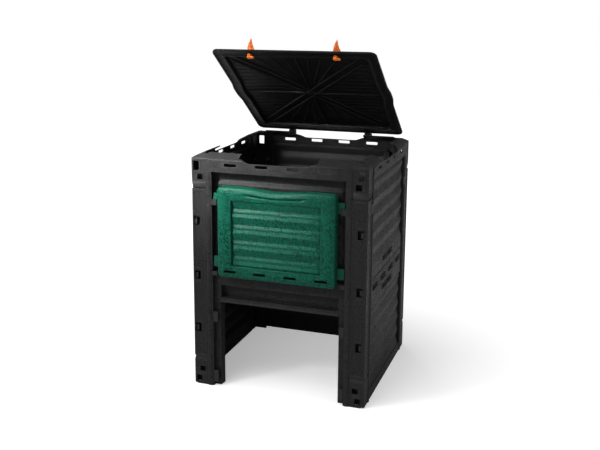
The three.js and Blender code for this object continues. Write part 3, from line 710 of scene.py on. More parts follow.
def new_tree(name, inputs):
    """Geometry Nodes tree with named inputs and one mesh out, and the sockets of those inputs."""
    tree = bpy.data.node_groups.new(name, "GeometryNodeTree")
    for label, kind in inputs.items():
        tree.interface.new_socket(label, in_out="INPUT", socket_type=f"NodeSocket{kind}")
    tree.interface.new_socket("Geometry", in_out="OUTPUT", socket_type="NodeSocketGeometry")
    return tree, tree.nodes.new("NodeGroupInput").outputs


def end_tree(tree, geometry, material):
    """Ends a tree in plain geometry with its material."""
    real = wired(tree, "GeometryNodeRealizeInstances", {"Geometry": geometry})
    finish = wired(tree, "GeometryNodeSetMaterial", {"Geometry": real.outputs[0], "Material": material})
    wired(tree, "NodeGroupOutput", {"Geometry": finish.outputs[0]})
    return tree


def run_tree(obj, tree, values):
    """Makes obj the plain mesh that a tree gives with these values in its named inputs."""
    modifier = obj.modifiers.new(tree.name, "NODES")
    modifier.node_group = tree
    sockets = {s.name: s.identifier for s in tree.interface.items_tree if s.in_out == "INPUT"}
    for key, value in values.items():
        modifier[sockets[key]] = value
    return finished(obj)


# ------------------------------------------------------------------ repeats, made with Geometry Nodes

def spread_tree(name, width_name, height_name):
    """Tree that sets one piece on every point, as long as the point says and turned as it says."""
    tree, given = new_tree(name, {
        "Geometry": "Geometry", "Piece": "Object", width_name: "Float", height_name: "Float",
        "Material": "Material"})
    piece = wired(tree, "GeometryNodeObjectInfo", {"Object": given["Piece"]})
    length = wired(tree, "GeometryNodeInputNamedAttribute", {"Name": "length"}, data_type="FLOAT")
    turn = wired(tree, "GeometryNodeInputNamedAttribute", {"Name": "turn"}, data_type="FLOAT_VECTOR")
    size = wired(tree, "ShaderNodeCombineXYZ", {
        "X": length.outputs["Attribute"], "Y": given[width_name], "Z": given[height_name]})
    pieces = wired(tree, "GeometryNodeInstanceOnPoints", {
        "Points": given["Geometry"], "Instance": piece.outputs["Geometry"],
        "Rotation": turn.outputs["Attribute"], "Scale": size.outputs["Vector"]})
    return end_tree(tree, pieces.outputs["Instances"], given["Material"])


def spread(name, points, tree, values, transform):
    """Plain mesh of the piece repeated on points, which are (x, y, z, length, turn about Z)."""
    obj = new_object(name, [p[:3] for p in points], [])
    length = obj.data.attributes.new("length", "FLOAT", "POINT")
    length.data.foreach_set("value", [p[3] for p in points])
    turn = obj.data.attributes.new("turn", "FLOAT_VECTOR", "POINT")
    turn.data.foreach_set("vector", [v for p in points for v in (0, 0, p[4])])
    run_tree(obj, tree, values)
    obj.data.transform(transform)
    for attribute in ("length", "turn"):
        if attribute in obj.data.attributes:
            obj.data.attributes.remove(obj.data.attributes[attribute])
    return clean(obj)


def ridge(name, rise=1.0):
    """Rib of unit length, width and height with a round back and drawn-in ends."""
    drawn_in = ((0.5, 0.0), (0.492, 0.5), (0.475, 0.85), (0.44, 1))
    stations = [(-x, grow) for x, grow in drawn_in] + list(reversed(drawn_in))
    angles = [math.pi * k / 6 for k in range(7)]
    points, faces = [], []
    for x, grow in stations:
        grow = max(grow, 0.02)
        points += [(x, 0.5 * math.cos(a) * (0.5 + 0.5 * grow), rise * math.sin(a) * grow) for a in angles]
    row = len(angles)
    for i in range(len(stations) - 1):
        for j in range(row - 1):
            p = i * row + j
            faces.append((p, p + 1, p + row + 1, p + row))
        faces.append((i * row + row - 1, i * row, (i + 1) * row, (i + 1) * row + row - 1))
    faces.append(tuple(range(row)))
    faces.append(tuple(reversed(range(len(points) - row, len(points)))))
    return clean(new_object(name, points, faces), 1e-7, outward=True)


def lid_transform():
    """From the closed lid's underside, where ribs rise towards -Z, to the open lid."""
    offset = Vector((0, -HINGE_Y * MM, -HINGE_Z * MM))
    return Matrix.Translation(HINGE_POINT) @ LID_TURN.to_4x4() @ Matrix.Translation(offset)


def rib_point(x, y, length, angle):
    """One rib under the lid's crown, from its middle in millimetres."""
    return x * MM, (LID_CENTRE + y) * MM, CROWN_UNDER * MM, length * MM, angle


def star_points():
    """Ribs of the lid: two beside each diagonal and one along each axis."""
    points = []
    for degrees in range(0, 180, 45):
        angle = math.radians(degrees)
        straight = degrees % 90 == 0
        length = 2 * (STAR_REACH if straight else STAR_REACH * math.sqrt(2) - 24)
        for offset in ((0,) if straight else (-STAR_GAP, STAR_GAP)):
            points.append(rib_point(-math.sin(angle) * offset, math.cos(angle) * offset, length, angle))
    return points


def fan_points():
    """Low ribs that fan out to the front and to the back."""
    points = []
    for side in (-1, 1):
        for degrees in (-32, -21, -10.5, 10.5, 21, 32):
            angle = math.radians(90 + degrees)
            inner, outer = 60, RIB_REACH / math.cos(math.radians(degrees))
            middle = side * (inner + outer) / 2
            x, y = math.cos(angle) * middle, math.sin(angle) * middle
            points.append(rib_point(x, y, outer - inner, angle))
    return points


def parallel_points(pitch):
    """Fine ribs of the left and right quarters, from the frame to the diagonals."""
    points = []
    rows = int((RIB_REACH - 30) // pitch)
    for row in range(-rows, rows + 1):
        y = row * pitch
        inner = max(abs(y) + 26, 44)
        if row == 0 or inner > RIB_REACH - 12:
            continue
        for side in (-1, 1):
            points.append(rib_point(side * (inner + RIB_REACH) / 2, y, RIB_REACH - inner, 0))
    return points


# ------------------------------------------------------------------ lofted shells

def loft(name, rings, material, closed=False):
    """Skin through rings of equal count, joined end to end if closed and capped if not."""
    count = len(rings[0])
    points = np.concatenate(rings)
    faces = []
    pairs = list(zip(range(len(rings) - 1), range(1, len(rings))))
    if closed:
        pairs.append((len(rings) - 1, 0))
    for a, b in pairs:
        for k in range(count):
            n = (k + 1) % count
            faces.append((a * count + k, a * count + n, b * count + n, b * count + k))
    if not closed:
        faces.append(tuple(range(count)))
        faces.append(tuple(reversed(range(len(points) - count, len(points)))))
    return clean(new_object(name, points, faces, material), outward=True)


def rounded_outline(x0, x1, y0, y1, radius, along, corner):
    """Points of a rounded rectangle, anticlockwise, with so many along a side and in a corner."""
    centres = ((x1 - radius, y0 + radius, -90), (x1 - radius, y1 - radius, 0),
               (x0 + radius, y1 - radius, 90), (x0 + radius, y0 + radius, 180))
    points = []
    for k, (cx, cy, start) in enumerate(centres):
        before = centres[k - 1]
        a0 = math.radians(before[2] + 90)
        last = (before[0] + radius * math.cos(a0), before[1] + radius * math.sin(a0))
        first = (cx + radius * math.cos(math.radians(start)), cy + radius * math.sin(math.radians(start)))
        for t in np.linspace(0, 1, along, endpoint=False):
            points.append((last[0] + (first[0] - last[0]) * t, last[1] + (first[1] - last[1]) * t))
        for a in np.linspace(math.radians(start), math.radians(start + 90), corner, endpoint=False):
            points.append((cx + radius * math.cos(a), cy + radius * math.sin(a)))
    return np.array(points)


def lid_outline(inset):
    """Plan of the lid drawn in by an inset, with a soft finger bump in each side."""
    radius = max(LID_CORNER - inset, 6)
    points = rounded_outline(
        -LID_HALF + inset, LID_HALF - inset, LID_FRONT + inset, LID_BACK - inset, radius, 44, 10)
    bump = 0.75 * BUMP_OUT * ease(1.25 - np.abs(points[:, 1] - LID_CENTRE) / BUMP_HALF)
    on_side = np.abs(points[:, 0]) > LID_HALF - inset - 0.5
    points[:, 0] += np.sign(points[:, 0]) * bump * on_side
    return points


# The lid's section, from the middle of its underside round the brim to the middle of its top:
# inset from the edge, and height
LID_SECTION = (
    (46, 834), (42, 834), (40, 833.5), (38.7, 832), (38.2, 829), (37.9, 825.2), (37.2, 824), (36, 823.5),
    (32, 823.5), (30.6, 823.8), (29.8, 824.8), (28.8, 825.2), (9, 825.2), (8, 824.8), (7.2, 823.8),
    (6, 823.5), (1.4, 823.5), (0.4, 823.9), (0, 825), (0, 829.6), (0.4, 830.6), (1.3, 831), (2.8, 831),
    (3.7, 830.6), (4.1, 829.6), (4.3, 828.2), (5.4, 827.5), (10, 827.5), (30, 827.5), (32.6, 828),
    (33.8, 829.4), (34, 832), (34.2, 835.4), (35.2, 837.2), (37.2, 838), (41, 838), (70, 838), (78, 838),
    (80, 837.4), (81.5, 836.8), (84, 836.6), (96, 836.6), (98.5, 836.8), (100, 837.4), (102, 838),
    (120, 838),
)


def make_lid_shell(material):
    """Lid drawn as its plan at every step of its section."""
    rings = [lid_place(*lid_outline(inset).T, z) for inset, z in LID_SECTION]
    shell = loft("lid_shell", rings, material)
    return smooth_by_angle(shell, 50)


def circle(sides):
    """Cosine and sine of equal steps round a circle."""
    angles = np.linspace(0, 2 * math.pi, sides, endpoint=False)
    return np.cos(angles), np.sin(angles)


def turned(name, sections, place, material):
    """Round piece about an upright axis, from (radius, height) pairs, placed by place(x, y, z)."""
    c, s = circle(ROUND_SIDES)
    rings = [place(r * c, r * s, np.full(ROUND_SIDES, float(z))) for r, z in sections]
    return smooth_by_angle(loft(name, rings, material), 40)


# ------------------------------------------------------------------ finishes

def moulded_plastic(name, grain, colour, rough, gloss_level, edge_highlight, sheen, painted_inner_shade):
    """Grained plastic: pebbled mould texture, cloudy colour, edges paler as a painted highlight, and
    uneven gloss.

    painted_inner_shade darkens the faces of the walls that look into the chamber: painted shade inside the
    bin.
    """
    material = bpy.data.materials.new(name)
    material.use_nodes = True
    tree = material.node_tree
    shader = tree.nodes["Principled BSDF"]
    coordinates = tree.nodes.new("ShaderNodeTexCoord")
    place = coordinates.outputs["Object"]

    def noise(scale, detail, roughness=0.55):
        return wired(tree, "ShaderNodeTexNoise", {
            "Vector": place, "Scale": scale, "Detail": detail, "Roughness": roughness}).outputs["Fac"]

    def ranged(source, low, high, to_low, to_high):
        return wired(tree, "ShaderNodeMapRange", {
            "Value": source, "From Min": low, "From Max": high,
            "To Min": to_low, "To Max": to_high}).outputs["Result"]

    def mixed(factor, first, second):
        node = wired(tree, "ShaderNodeMix", {"Factor": factor}, data_type="RGBA")
        for socket, value in (("A", first), ("B", second)):
            target = next(s for s in node.inputs if s.name == socket and s.type == "RGBA")
            if isinstance(value, tuple):
                target.default_value = value
            else:
                tree.links.new(value, target)
        return next(s for s in node.outputs if s.type == "RGBA")

    def shade(factor, lift=0.0):
        return tuple(min(1.0, c * factor + lift) for c in colour) + (1.0,)

    pebble = wired(tree, "ShaderNodeTexVoronoi", {"Vector": place, "Scale": 300, "Smoothness": 0.6},
                   feature="SMOOTH_F1").outputs["Distance"]
    fine = noise(900, 2)
    mottle = noise(150, 3, 0.7)
    cloud = noise(9, 3)
    edge = tree.nodes.new("ShaderNodeNewGeometry").outputs["Pointiness"]
    body = mixed(ranged(mottle, 0.4, 0.6, 0, 1), shade(0.4), shade(2.0, 0.0015))
    body = mixed(ranged(cloud, 0.4, 0.62, 0, 0.4), body, shade(1.5, 0.003))
    # Painted highlight: edges found by pointiness are made paler
    body = mixed(ranged(edge, 0.512, 0.56, 0, 0.5), body, shade(1.7, edge_highlight))
    body = mixed(ranged(pebble, 0.2, 0.7, 0, 0.35), body, shade(0.6))
    # Painted shade: faces that look into the chamber are darkened, where little light reaches
    if painted_inner_shade:
        across = wired(tree, "ShaderNodeVectorMath", {0: place, 1: (1, 1, 0)}, operation="MULTIPLY")
        inward = wired(tree, "ShaderNodeVectorMath", {
            0: across.outputs["Vector"], 1: coordinates.outputs["Normal"]}, operation="DOT_PRODUCT")
        body = mixed(ranged(inward.outputs["Value"], -0.275, -0.255, painted_inner_shade, 0), body, shade(0.15))
    gloss = wired(tree, "ShaderNodeMath", {
        0: ranged(mottle, 0.38, 0.62, rough - 0.16, rough + 0.14),
        1: ranged(cloud, 0.35, 0.65, -0.03, 0.05)}, operation="ADD")
    normal = None
    for strength, distance, height in (
            (0.9, grain, pebble), (0.35, grain * 0.5, fine), (sheen, grain * 2, mottle),
            (sheen, 1.2 * MM, noise(26, 2))):
        bump = wired(tree, "ShaderNodeBump", {
            "Strength": strength, "Distance": distance, "Height": height})
        if normal:
            tree.links.new(normal, bump.inputs["Normal"])
        normal = bump.outputs["Normal"]
    shader.inputs["IOR"].default_value = 1.49
    shader.inputs["Specular IOR Level"].default_value = gloss_level
    for key, source in (("Base Color", body), ("Roughness", gloss.outputs[0]), ("Normal", normal)):
        tree.links.new(source, shader.inputs[key])
    return material


def finish_for(kind):
    """One of the plastics, made once."""
    found = bpy.data.materials.get(f"{kind}_moulded")
    if found:
        return found
    look = bpy.context.scene.bin_finish
    # Colour, roughness, gloss, edges paler as a painted highlight, unevenness of the gloss, and painted
    # shade inside
    kinds = {
        "black_plastic": (look.black, 0.58, 0.14, 0.014, 0.6, 0.7),
        # The lid's copy of the black plastic is darker and less glossy: painted shade
        "lid_plastic": (look.lid_shaded_black, 0.5, 0.1, 0.006, 0.4, 0),
        "green_plastic": (look.green, 0.42, 0.09, 0.012, 0.25, 0),
        "orange_plastic": (look.orange, 0.36, 0.25, 0.02, 0.1, 0),
    }
    colour, *rest = kinds[kind]
    return moulded_plastic(f"{kind}_moulded", look.grain, tuple(colour), *rest)


def settle(obj, body, slot, *nodes):
    """Ties a finished piece to its body and hides the CAD nodes that it stands for; slot is not used."""
    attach(obj, body)
    if nodes:
        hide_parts(*nodes)
    return obj


# ------------------------------------------------------------------ operators

class BIN_OT_build_walls(bpy.types.Operator):
    """Build the four louvred walls"""
    bl_idname = "compost_bin.build_walls"
    bl_label = "Walls"

    def execute(self, context):
        settings = context.scene.bin_walls
        black = finish_for("black_plastic")
        front = make_front_wall(settings, black)
        for s in (-1, 1):
            for low, high in LUGS:
                join(front, block(f"lug_{s}_{low}", sorted(s * v for v in LUG_X), (0, SKIN), (low, high),
                                  wall_place(0), black, 1.0))
        settle(front, "bin", "black_plastic", "front_wall")
        for name, turns in VENTED_WALLS.items():
            wall = make_vented_wall(f"{name}_skin", turns, name == "back_wall", settings, black)
            if name == "back_wall":
                join(wall, *hinge_ears(black))
            else:
                join(wall, *make_hook_strips(turns, wall_place(turns), black))
            settle(wall, "bin", "black_plastic", name)
        return {"FINISHED"}


def hinge_ears(material):
    """Ears on the back wall's collar that hold the hinge pins."""
    place = wall_place(2)
    depth = HALF - HINGE_Y
    angles = np.linspace(math.pi, 0, 13)
    outline = [(1, WALL_TOP - 2)]
    outline += [(depth + EAR_ROUND * math.cos(a), HINGE_Z + EAR_ROUND * math.sin(a)) for a in angles]
    outline += [(depth + EAR_ROUND + 3, WALL_TOP + 7)]
    count = len(outline)
    ears = []
    for s in (-1, 1):
        for hand in (-1, 1):
            inner = s * HINGE_X + hand * EAR_INNER
            rings = []
            for x in sorted((inner, inner + hand * SKIN)):
                rings.append(place(np.full(count, x), *np.array(outline).T))
            ears.append(bevelled(loft(f"ear_{s}_{hand}", rings, material), 0.7))
    return ears


class BIN_OT_build_vent_lips(bpy.types.Operator):
    """Build the curved lips under the air vents"""
    bl_idname = "compost_bin.build_vent_lips"
    bl_label = "Vent lips"

    def execute(self, context):
        settings = context.scene.bin_walls
        tree = spread_tree("Vent lips", "Lip Width", "Lip Height")
        piece = ridge("lip_piece")
        half = settings.vent_height / MM / 2
        points = [(x * MM, (level + hand * (half + 1.6)) * MM, 0, 2.25 * VENT_HALF * MM, 0)
                  for level, at in VENTS for x in at for hand in (-1, 1)]
        values = {"Piece": piece, "Lip Width": VENT_LIP * MM, "Lip Height": VENT_LIP * MM,
                  "Material": finish_for("black_plastic")}
        upright = Matrix.Rotation(math.pi / 2, 4, "X")
        on_face = Matrix.Translation((0, (SIDE_RELIEF[0] + GAP - HALF) * MM, 0)) @ upright
        for name, turns in VENTED_WALLS.items():
            on_wall = Matrix.Rotation(turns * math.pi / 2, 4, "Z") @ on_face
            lips = spread(f"{name}_vent_lips", points, tree, values,
                          Matrix.Translation((0, CENTRE_Y, 0)) @ on_wall)
            settle(smooth_by_angle(lips, 50), "bin", "black_plastic")
        bpy.data.objects.remove(piece)
        return {"FINISHED"}


class BIN_OT_build_clips(bpy.types.Operator):
    """Build the eight angle clips at the corners"""
    bl_idname = "compost_bin.build_clips"
    bl_label = "Corner clips"

    def execute(self, context):
        for corner in CORNERS:
            for level in ("upper", "lower"):
                node = f"clip_{corner}_{level}"
                clip = soft_copy(node, finish_for("black_plastic"), 0.7)
                settle(clip, "bin", "black_plastic", node)
        return {"FINISHED"}


class BIN_OT_build_door(bpy.types.Operator):
    """Build the sliding harvest door"""
    bl_idname = "compost_bin.build_door"
    bl_label = "Harvest door"

    def execute(self, context):
        green = finish_for("green_plastic")
        door = door_frame(context.scene.bin_door, green)
        join(door, door_panel(context.scene.bin_door, green))
        for s in (-1, 1):
            for low, high in TABS:
                join(door, block(f"tab_{s}_{low}", sorted(s * v for v in TAB_X), (TAB_FRONT, DOOR_BACK),
                                 (low, high), wall_place(0), green, 1.6))
        settle(door, "door", "green_plastic", "harvest_door")
        return {"FINISHED"}


# Share of the way from the door's outer edge to its panel, and depth: a low ridge with two slopes
DOOR_SECTION = (
    (0, 12.8), (0, 2), (0, -12), (0.012, -16), (0.04, -18.8), (0.08, -20.3), (0.14, -21.4), (0.2, -22.3),
    (0.26, -23.1), (0.32, -23.8), (0.37, -24.4), (0.41, -24.8), (0.45, -25), (0.5, -25), (0.54, -24.8),
    (0.6, -24.2), (0.66, -23.6), (0.74, -22.9), (0.82, -22.2), (0.9, -21.5), (0.95, -21), (0.985, -20),
    (1, -18.5), (1, -14), (1, -4), (0.92, -4), (0.92, -17), (0.5, -19.5), (0.09, -16.5), (0.08, 12.8),
)


def door_frame(settings, material):
    """Frame of the door round its panel, with the dipped grip in its top edge and the slots below."""
    place = wall_place(0)
    outer = rounded_outline(
        -DOOR_HALF, DOOR_HALF, DOOR_BOTTOM, DOOR_TOP, settings.corner / MM, 48, 10)
    inner = rounded_outline(-PANEL_HALF, PANEL_HALF, PANEL_BOTTOM, PANEL_TOP, 4, 48, 10)
    rings = []
    for share, depth in DOOR_SECTION:
        ring = outer + (inner - outer) * share
        x, z = ring.T
        on_top = (z > (DOOR_TOP + DOOR_BOTTOM) / 2 + 60).astype(float)
        reach = np.clip(np.abs(x) / (settings.grip_half / MM), 0, 1)
        dip = np.cos(reach * math.pi / 2) ** 2 * on_top
        fade = 1 - ease((share - 0.3) / 0.6)
        z = z - settings.grip_depth / MM * 1.15 * dip * fade
        held = ease((0.93 - reach) / 0.1) * on_top
        scoop = ease((share - 0.36) / 0.05) * ease((0.64 - share) / 0.1)
        d = depth + (5.5 * scoop * held if depth < -22 and share < 0.75 else 0) * np.ones(len(x))
        lift = 1.6 * ease((share - 0.14) / 0.08) * ease((0.4 - share) / 0.05) * held
        d = np.maximum(d - lift * (depth < -21), DOOR_FRONT - 0.9)
        rings.append(place(x, d, z))
    frame_piece = loft("harvest_door_shell", rings, material, closed=True)
    cutters = []
    for x in DOOR_SLOTS:
        outline = rounded_outline(x - DOOR_SLOT_HALF, x + DOOR_SLOT_HALF, *DOOR_SLOT_LEVELS, 3, 2, 4)
        sides = [place(outline[:, 0], np.full(len(outline), d), outline[:, 1]) for d in (-30.0, -16.0)]
        cutters.append(loft(f"slot_{x}", sides, material))
    tool = join(*cutters)
    cut = frame_piece.modifiers.new("Slots", "BOOLEAN")
    cut.object = tool
    cut.solver = "EXACT"
    finished(frame_piece)
    bpy.data.objects.remove(tool)
    return smooth_by_angle(frame_piece, 40)


# Height along one louvre of the door, from a valley up, and the share of its depth reached there
LOUVRE_PROFILE = (
    (0, 0.0), (0.02, 0.02), (0.165, 0.44), (0.195, 0.5), (0.3, 0.5), (0.33, 0.56), (0.49, 0.95),
    (0.52, 1.0), (0.56, 0.95), (0.97, 0.03), (1, 0.0))


def panel_tree():
    """Tree that bends a flat grid into louvres with rounded ends."""
    sizes = ("Half Width", "Bottom", "Top", "Valley", "Louvre Depth", "Pitch", "First Valley", "End Round")
    tree, given = new_tree("Door louvres", {**dict.fromkeys(sizes, "Float"), "Material": "Material"})

    def math_node(kind, *sources):
        return wired(tree, "ShaderNodeMath", dict(enumerate(sources)), operation=kind).outputs[0]

    grid = wired(tree, "GeometryNodeMeshGrid", {
        "Size X": math_node("MULTIPLY", given["Half Width"], 2),
        "Size Y": math_node("SUBTRACT", given["Top"], given["Bottom"]),
        "Vertices X": 121, "Vertices Y": 226})
    where = tree.nodes.new("GeometryNodeInputPosition")
    apart = wired(tree, "ShaderNodeSeparateXYZ", {0: where.outputs[0]}).outputs
    middle = math_node("MULTIPLY", math_node("ADD", given["Top"], given["Bottom"]), 0.5)
    height = math_node("ADD", apart["Y"], middle)
    run = math_node("DIVIDE", math_node("SUBTRACT", given["First Valley"], height), given["Pitch"])
    run = math_node("FRACT", math_node("ADD", run, 8))
    profile = wired(tree, "ShaderNodeFloatCurve", {"Value": run})
    curve = profile.mapping.curves[0]
    curve.points[0].location, curve.points[1].location = LOUVRE_PROFILE[0], LOUVRE_PROFILE[-1]
    for corner in LOUVRE_PROFILE[1:-1]:
        curve.points.new(*corner)
    for point in curve.points:
        point.handle_type = "VECTOR"
    profile.mapping.update()
    side = math_node("SUBTRACT", given["Half Width"], math_node("ABSOLUTE", apart["X"]))
    share = math_node("DIVIDE", side, given["End Round"])
    share = math_node("SUBTRACT", 1, math_node("MINIMUM", share, 1))
    share = math_node("SQRT", math_node("SUBTRACT", 1.0001, math_node("MULTIPLY", share, share)))
    rise = math_node("MULTIPLY", profile.outputs[0], share)
    rise = math_node("MULTIPLY", rise, given["Louvre Depth"])
    depth = math_node("SUBTRACT", given["Valley"], rise)
    place = wired(tree, "ShaderNodeCombineXYZ", {"X": apart["X"], "Y": depth, "Z": height})
    bend = wired(tree, "GeometryNodeSetPosition", {
        "Geometry": grid.outputs["Mesh"], "Position": place.outputs[0]})
    return end_tree(tree, bend.outputs[0], given["Material"])


def door_panel(settings, material):
    """Louvred panel inside the door's frame, lapped a little over it."""
    lap = 0.6
    obj = run_tree(new_object("door_panel", [], []), panel_tree(), {
        "Half Width": (PANEL_HALF + lap) * MM, "Bottom": (PANEL_BOTTOM - lap) * MM,
        "Top": (PANEL_TOP + lap) * MM, "Valley": (-8 - HALF) * MM + CENTRE_Y,
        "Louvre Depth": settings.louvre_depth, "Pitch": LOUVRE_PITCH * MM,
        "First Valley": (PANEL_TOP - LOUVRE_PITCH / 2) * MM, "End Round": 12 * MM, "Material": material})
    if obj.data.polygons[0].normal.y > 0:
        obj.data.flip_normals()
    thick = obj.modifiers.new("Thickness", "SOLIDIFY")
    thick.thickness = 2.6 * MM
    thick.offset = -1
    return smooth_by_angle(finished(obj), 50)


class BIN_OT_build_lid(bpy.types.Operator):
    """Build the lid with its ribs and its hinge knuckles"""
    bl_idname = "compost_bin.build_lid"
    bl_label = "Lid"

    def execute(self, context):
        settings = context.scene.bin_lid
        black = finish_for("lid_plastic")
        shell = make_lid_shell(black)
        tree = spread_tree("Lid ribs", "Rib Width", "Rib Height")
        piece = ridge("rib_piece", -1.0)
        kinds = (
            ("star", star_points(), settings.rib_width, settings.rib_height),
            ("fan", fan_points(), settings.fine_width, settings.fine_height * 1.5),
            ("parallel", parallel_points(settings.fine_pitch / MM), settings.fine_width,
             settings.fine_height),
        )
        for kind, points, width, height in kinds:
            ribs = spread(f"{kind}_ribs", points, tree,
                          {"Piece": piece, "Rib Width": width, "Rib Height": height, "Material": black},
                          lid_transform())
            join(shell, smooth_by_angle(ribs, 50))
        bpy.data.objects.remove(piece)
        for s in (-1, 1):
            join(shell, *knuckle(s, black))
        settle(shell, "lid", "black_plastic", "lid")
        return {"FINISHED"}


def knuckle(side, material):
    """Round knuckle on the lid's back edge, with the web that carries it."""
    c, s = circle(ROUND_SIDES)
    rings = []
    bored = ((-KNUCKLE_HALF, 3.4), (-KNUCKLE_HALF, 5.9), (-KNUCKLE_HALF + 0.6, 6.5))
    for x, radius in (*bored, *((-x, radius) for x, radius in reversed(bored))):
        rings.append(lid_place(np.full(ROUND_SIDES, side * HINGE_X + x),
                               HINGE_Y + radius * c, HINGE_Z + radius * s))
    barrel = smooth_by_angle(loft(f"knuckle_{side}", rings, material, closed=True), 40)
    centre = side * HINGE_X
    web = block(f"web_{side}", (centre - KNUCKLE_HALF, centre + KNUCKLE_HALF), (LID_BACK - 2, HINGE_Y - 4),
                (LID_FLOOR, LID_FLOOR + SKIN), lid_place, material, 0.6)
    return barrel, web


class BIN_OT_build_hinges(bpy.types.Operator):
    """Build the hinge pins"""
    bl_idname = "compost_bin.build_hinges"
    bl_label = "Hinge pins"

    def execute(self, context):
        for side in ("left", "right"):
            node = f"hinge_pin_{side}"
            pin = soft_copy(node, finish_for("black_plastic"), 0.6)
            settle(pin, "bin", "black_plastic", node)
        return {"FINISHED"}


class BIN_OT_build_latches(bpy.types.Operator):
    """Build the two swept thumb-turns and their cams"""
    bl_idname = "compost_bin.build_latches"
    bl_label = "Latches"

    def execute(self, context):
        orange = finish_for("orange_plastic")
        for side, s in (("left", -1), ("right", 1)):
            knob = latch_fin(side, s, orange)
            settle(knob, f"latch_{side}", "orange_plastic", f"latch_knob_{side}")
            cam = latch_cam(side, s, orange)
            settle(cam, f"latch_{side}", "orange_plastic", f"latch_cam_{side}")
        return {"FINISHED"}


# The fin's sections: height above the foot, left and right ends, and half thickness
FIN_SECTIONS = (
    (0, -12, 11.5, 3.2), (2.5, -11.9, 18, 3.2), (8, -11.6, 16.4, 3.1), (12, -11.6, 14, 3.1),
    (16, -11.7, 11.6, 3.0), (20, -11.6, 9.2, 2.9), (25, -10.9, 6.6, 2.7), (30, -9.8, 4.4, 2.5),
    (35, -8.1, 2.6, 2.2), (40, -6.0, 1.2, 1.8), (44, -4.3, 0, 1.3), (47, -3.0, -1.0, 0.8),
    (48.8, -2.2, -1.6, 0.35),
)


def latch_place(s):
    """Places what belongs to the left or right latch, from the middle of its shaft."""
    return lambda x, y, z: lid_place(x + s * LATCH_X, y + LATCH_Y, z)


def latch_fin(side, s, material):
    """Swept fin on its round foot, with the shaft that goes through the brim."""
    seat = LATCH_SEAT
    place = latch_place(s)
    c, q = circle(FIN_SIDES)
    rings = []
    for height, left, right, thick in FIN_SECTIONS:
        x = (left + right) / 2 + (right - left) / 2 * c
        rings.append(place(x, -0.28 * height + thick * q, np.full(FIN_SIDES, seat + 2.5 + height)))
    fin = smooth_by_angle(loft(f"latch_fin_{side}", rings, material), 60)
    foot = turned("foot", (
        (0.5, seat), (11.6, seat), (12.5, seat + 0.8), (12.5, seat + 2),
        (11.8, seat + 2.8), (10.4, seat + 3), (0.5, seat + 3)), place, material)
    shaft = turned("shaft", (
        (0.5, LID_FLOOR - 9), (3.6, LID_FLOOR - 9), (4, LID_FLOOR - 8.5), (4, seat + 1),
        (0.5, seat + 1)), place, material)
    return join(fin, foot, shaft)


def latch_cam(side, s, material):
    """Hub below the brim with the tongue that locks under the collar."""
    place = latch_place(s)
    low = LID_FLOOR - 13.5
    hub = turned(f"latch_hub_{side}", (
        (0.4, low), (5.6, low), (6.9, low + 0.6), (7.5, low + 1.8), (7.5, LID_FLOOR - 1),
        (7.1, LID_FLOOR - 0.4), (4.4, LID_FLOOR - 0.4), (4.35, low + 4.2), (0.4, low + 4.2)),
        place, material)
    tip, half = 18, 5.5
    middle, reach = (1 + tip) / 2, (tip - 1) / 2
    outline = rounded_outline(1, tip, -half, half, 4.5, 3, 6)
    rings = []
    for inset, z in ((1.2, 0), (0.3, 0.5), (0, 1.3), (0, 3.8), (0.3, 4.6), (1.2, 5)):
        x = middle + (outline[:, 0] - middle) * (1 - inset / reach)
        y = outline[:, 1] * (1 - inset / half)
        rings.append(place(x, y, np.full(len(outline), low + z)))
    tongue = smooth_by_angle(loft("tongue", rings, material), 50)
    return join(hub, tongue)


def studio_world(scene, ambient):
    """White all round where it is looked at, and a weaker even light on the pieces."""
    world = bpy.data.worlds.new("studio")
    scene.world = world
    world.use_nodes = True
    tree = world.node_tree
    seen = tree.nodes["Background"]
    seen.inputs["Color"].default_value = (1, 1, 1, 1)
    seen.inputs["Strength"].default_value = 1.0
    soft = wired(tree, "ShaderNodeBackground", {"Color": (1, 1, 1, 1), "Strength": ambient})
    path = tree.nodes.new("ShaderNodeLightPath")
    pick = wired(tree, "ShaderNodeMixShader", {
        "Fac": path.outputs["Is Camera Ray"], 1: soft.outputs[0], 2: seen.outputs[0]})
    tree.links.new(pick.outputs[0], tree.nodes["World Output"].inputs["Surface"])


def pale_floor(colour):
    """Round floor with its pale finish."""
    material = bpy.data.materials.new("pale_floor")
    material.use_nodes = True
    tree = material.node_tree
    shader = tree.nodes["Principled BSDF"]
    shader.inputs["Base Color"].default_value = (*colour, 1)
    shader.inputs["Roughness"].default_value = 0.9
    shader.inputs["Specular IOR Level"].default_value = 0.1
    shader.inputs["Emission Color"].default_value = (1, 1, 1, 1)
    path = tree.nodes.new("ShaderNodeLightPath")
    glow = wired(tree, "ShaderNodeMath", {0: path.outputs["Is Camera Ray"], 1: FLOOR_GLOW},
                 operation="MULTIPLY")
    tree.links.new(glow.outputs[0], shader.inputs["Emission Strength"])
    c, s = circle(FLOOR_SIDES)
    rim = np.stack([FLOOR_RADIUS * c, FLOOR_RADIUS * s, 0 * c], -1)
    return new_object("pale_floor", rim, [tuple(range(FLOOR_SIDES))], material)


def add_light(scene, light, place, target, power, tint):
    """Sets a light in its place, turned towards a target."""
    light.energy = power
    light.color = tint
    lamp = bpy.data.objects.new(light.name, light)
    lamp.location = place
    lamp.rotation_euler = (target - lamp.location).to_track_quat("-Z", "Y").to_euler()
    scene.collection.objects.link(lamp)


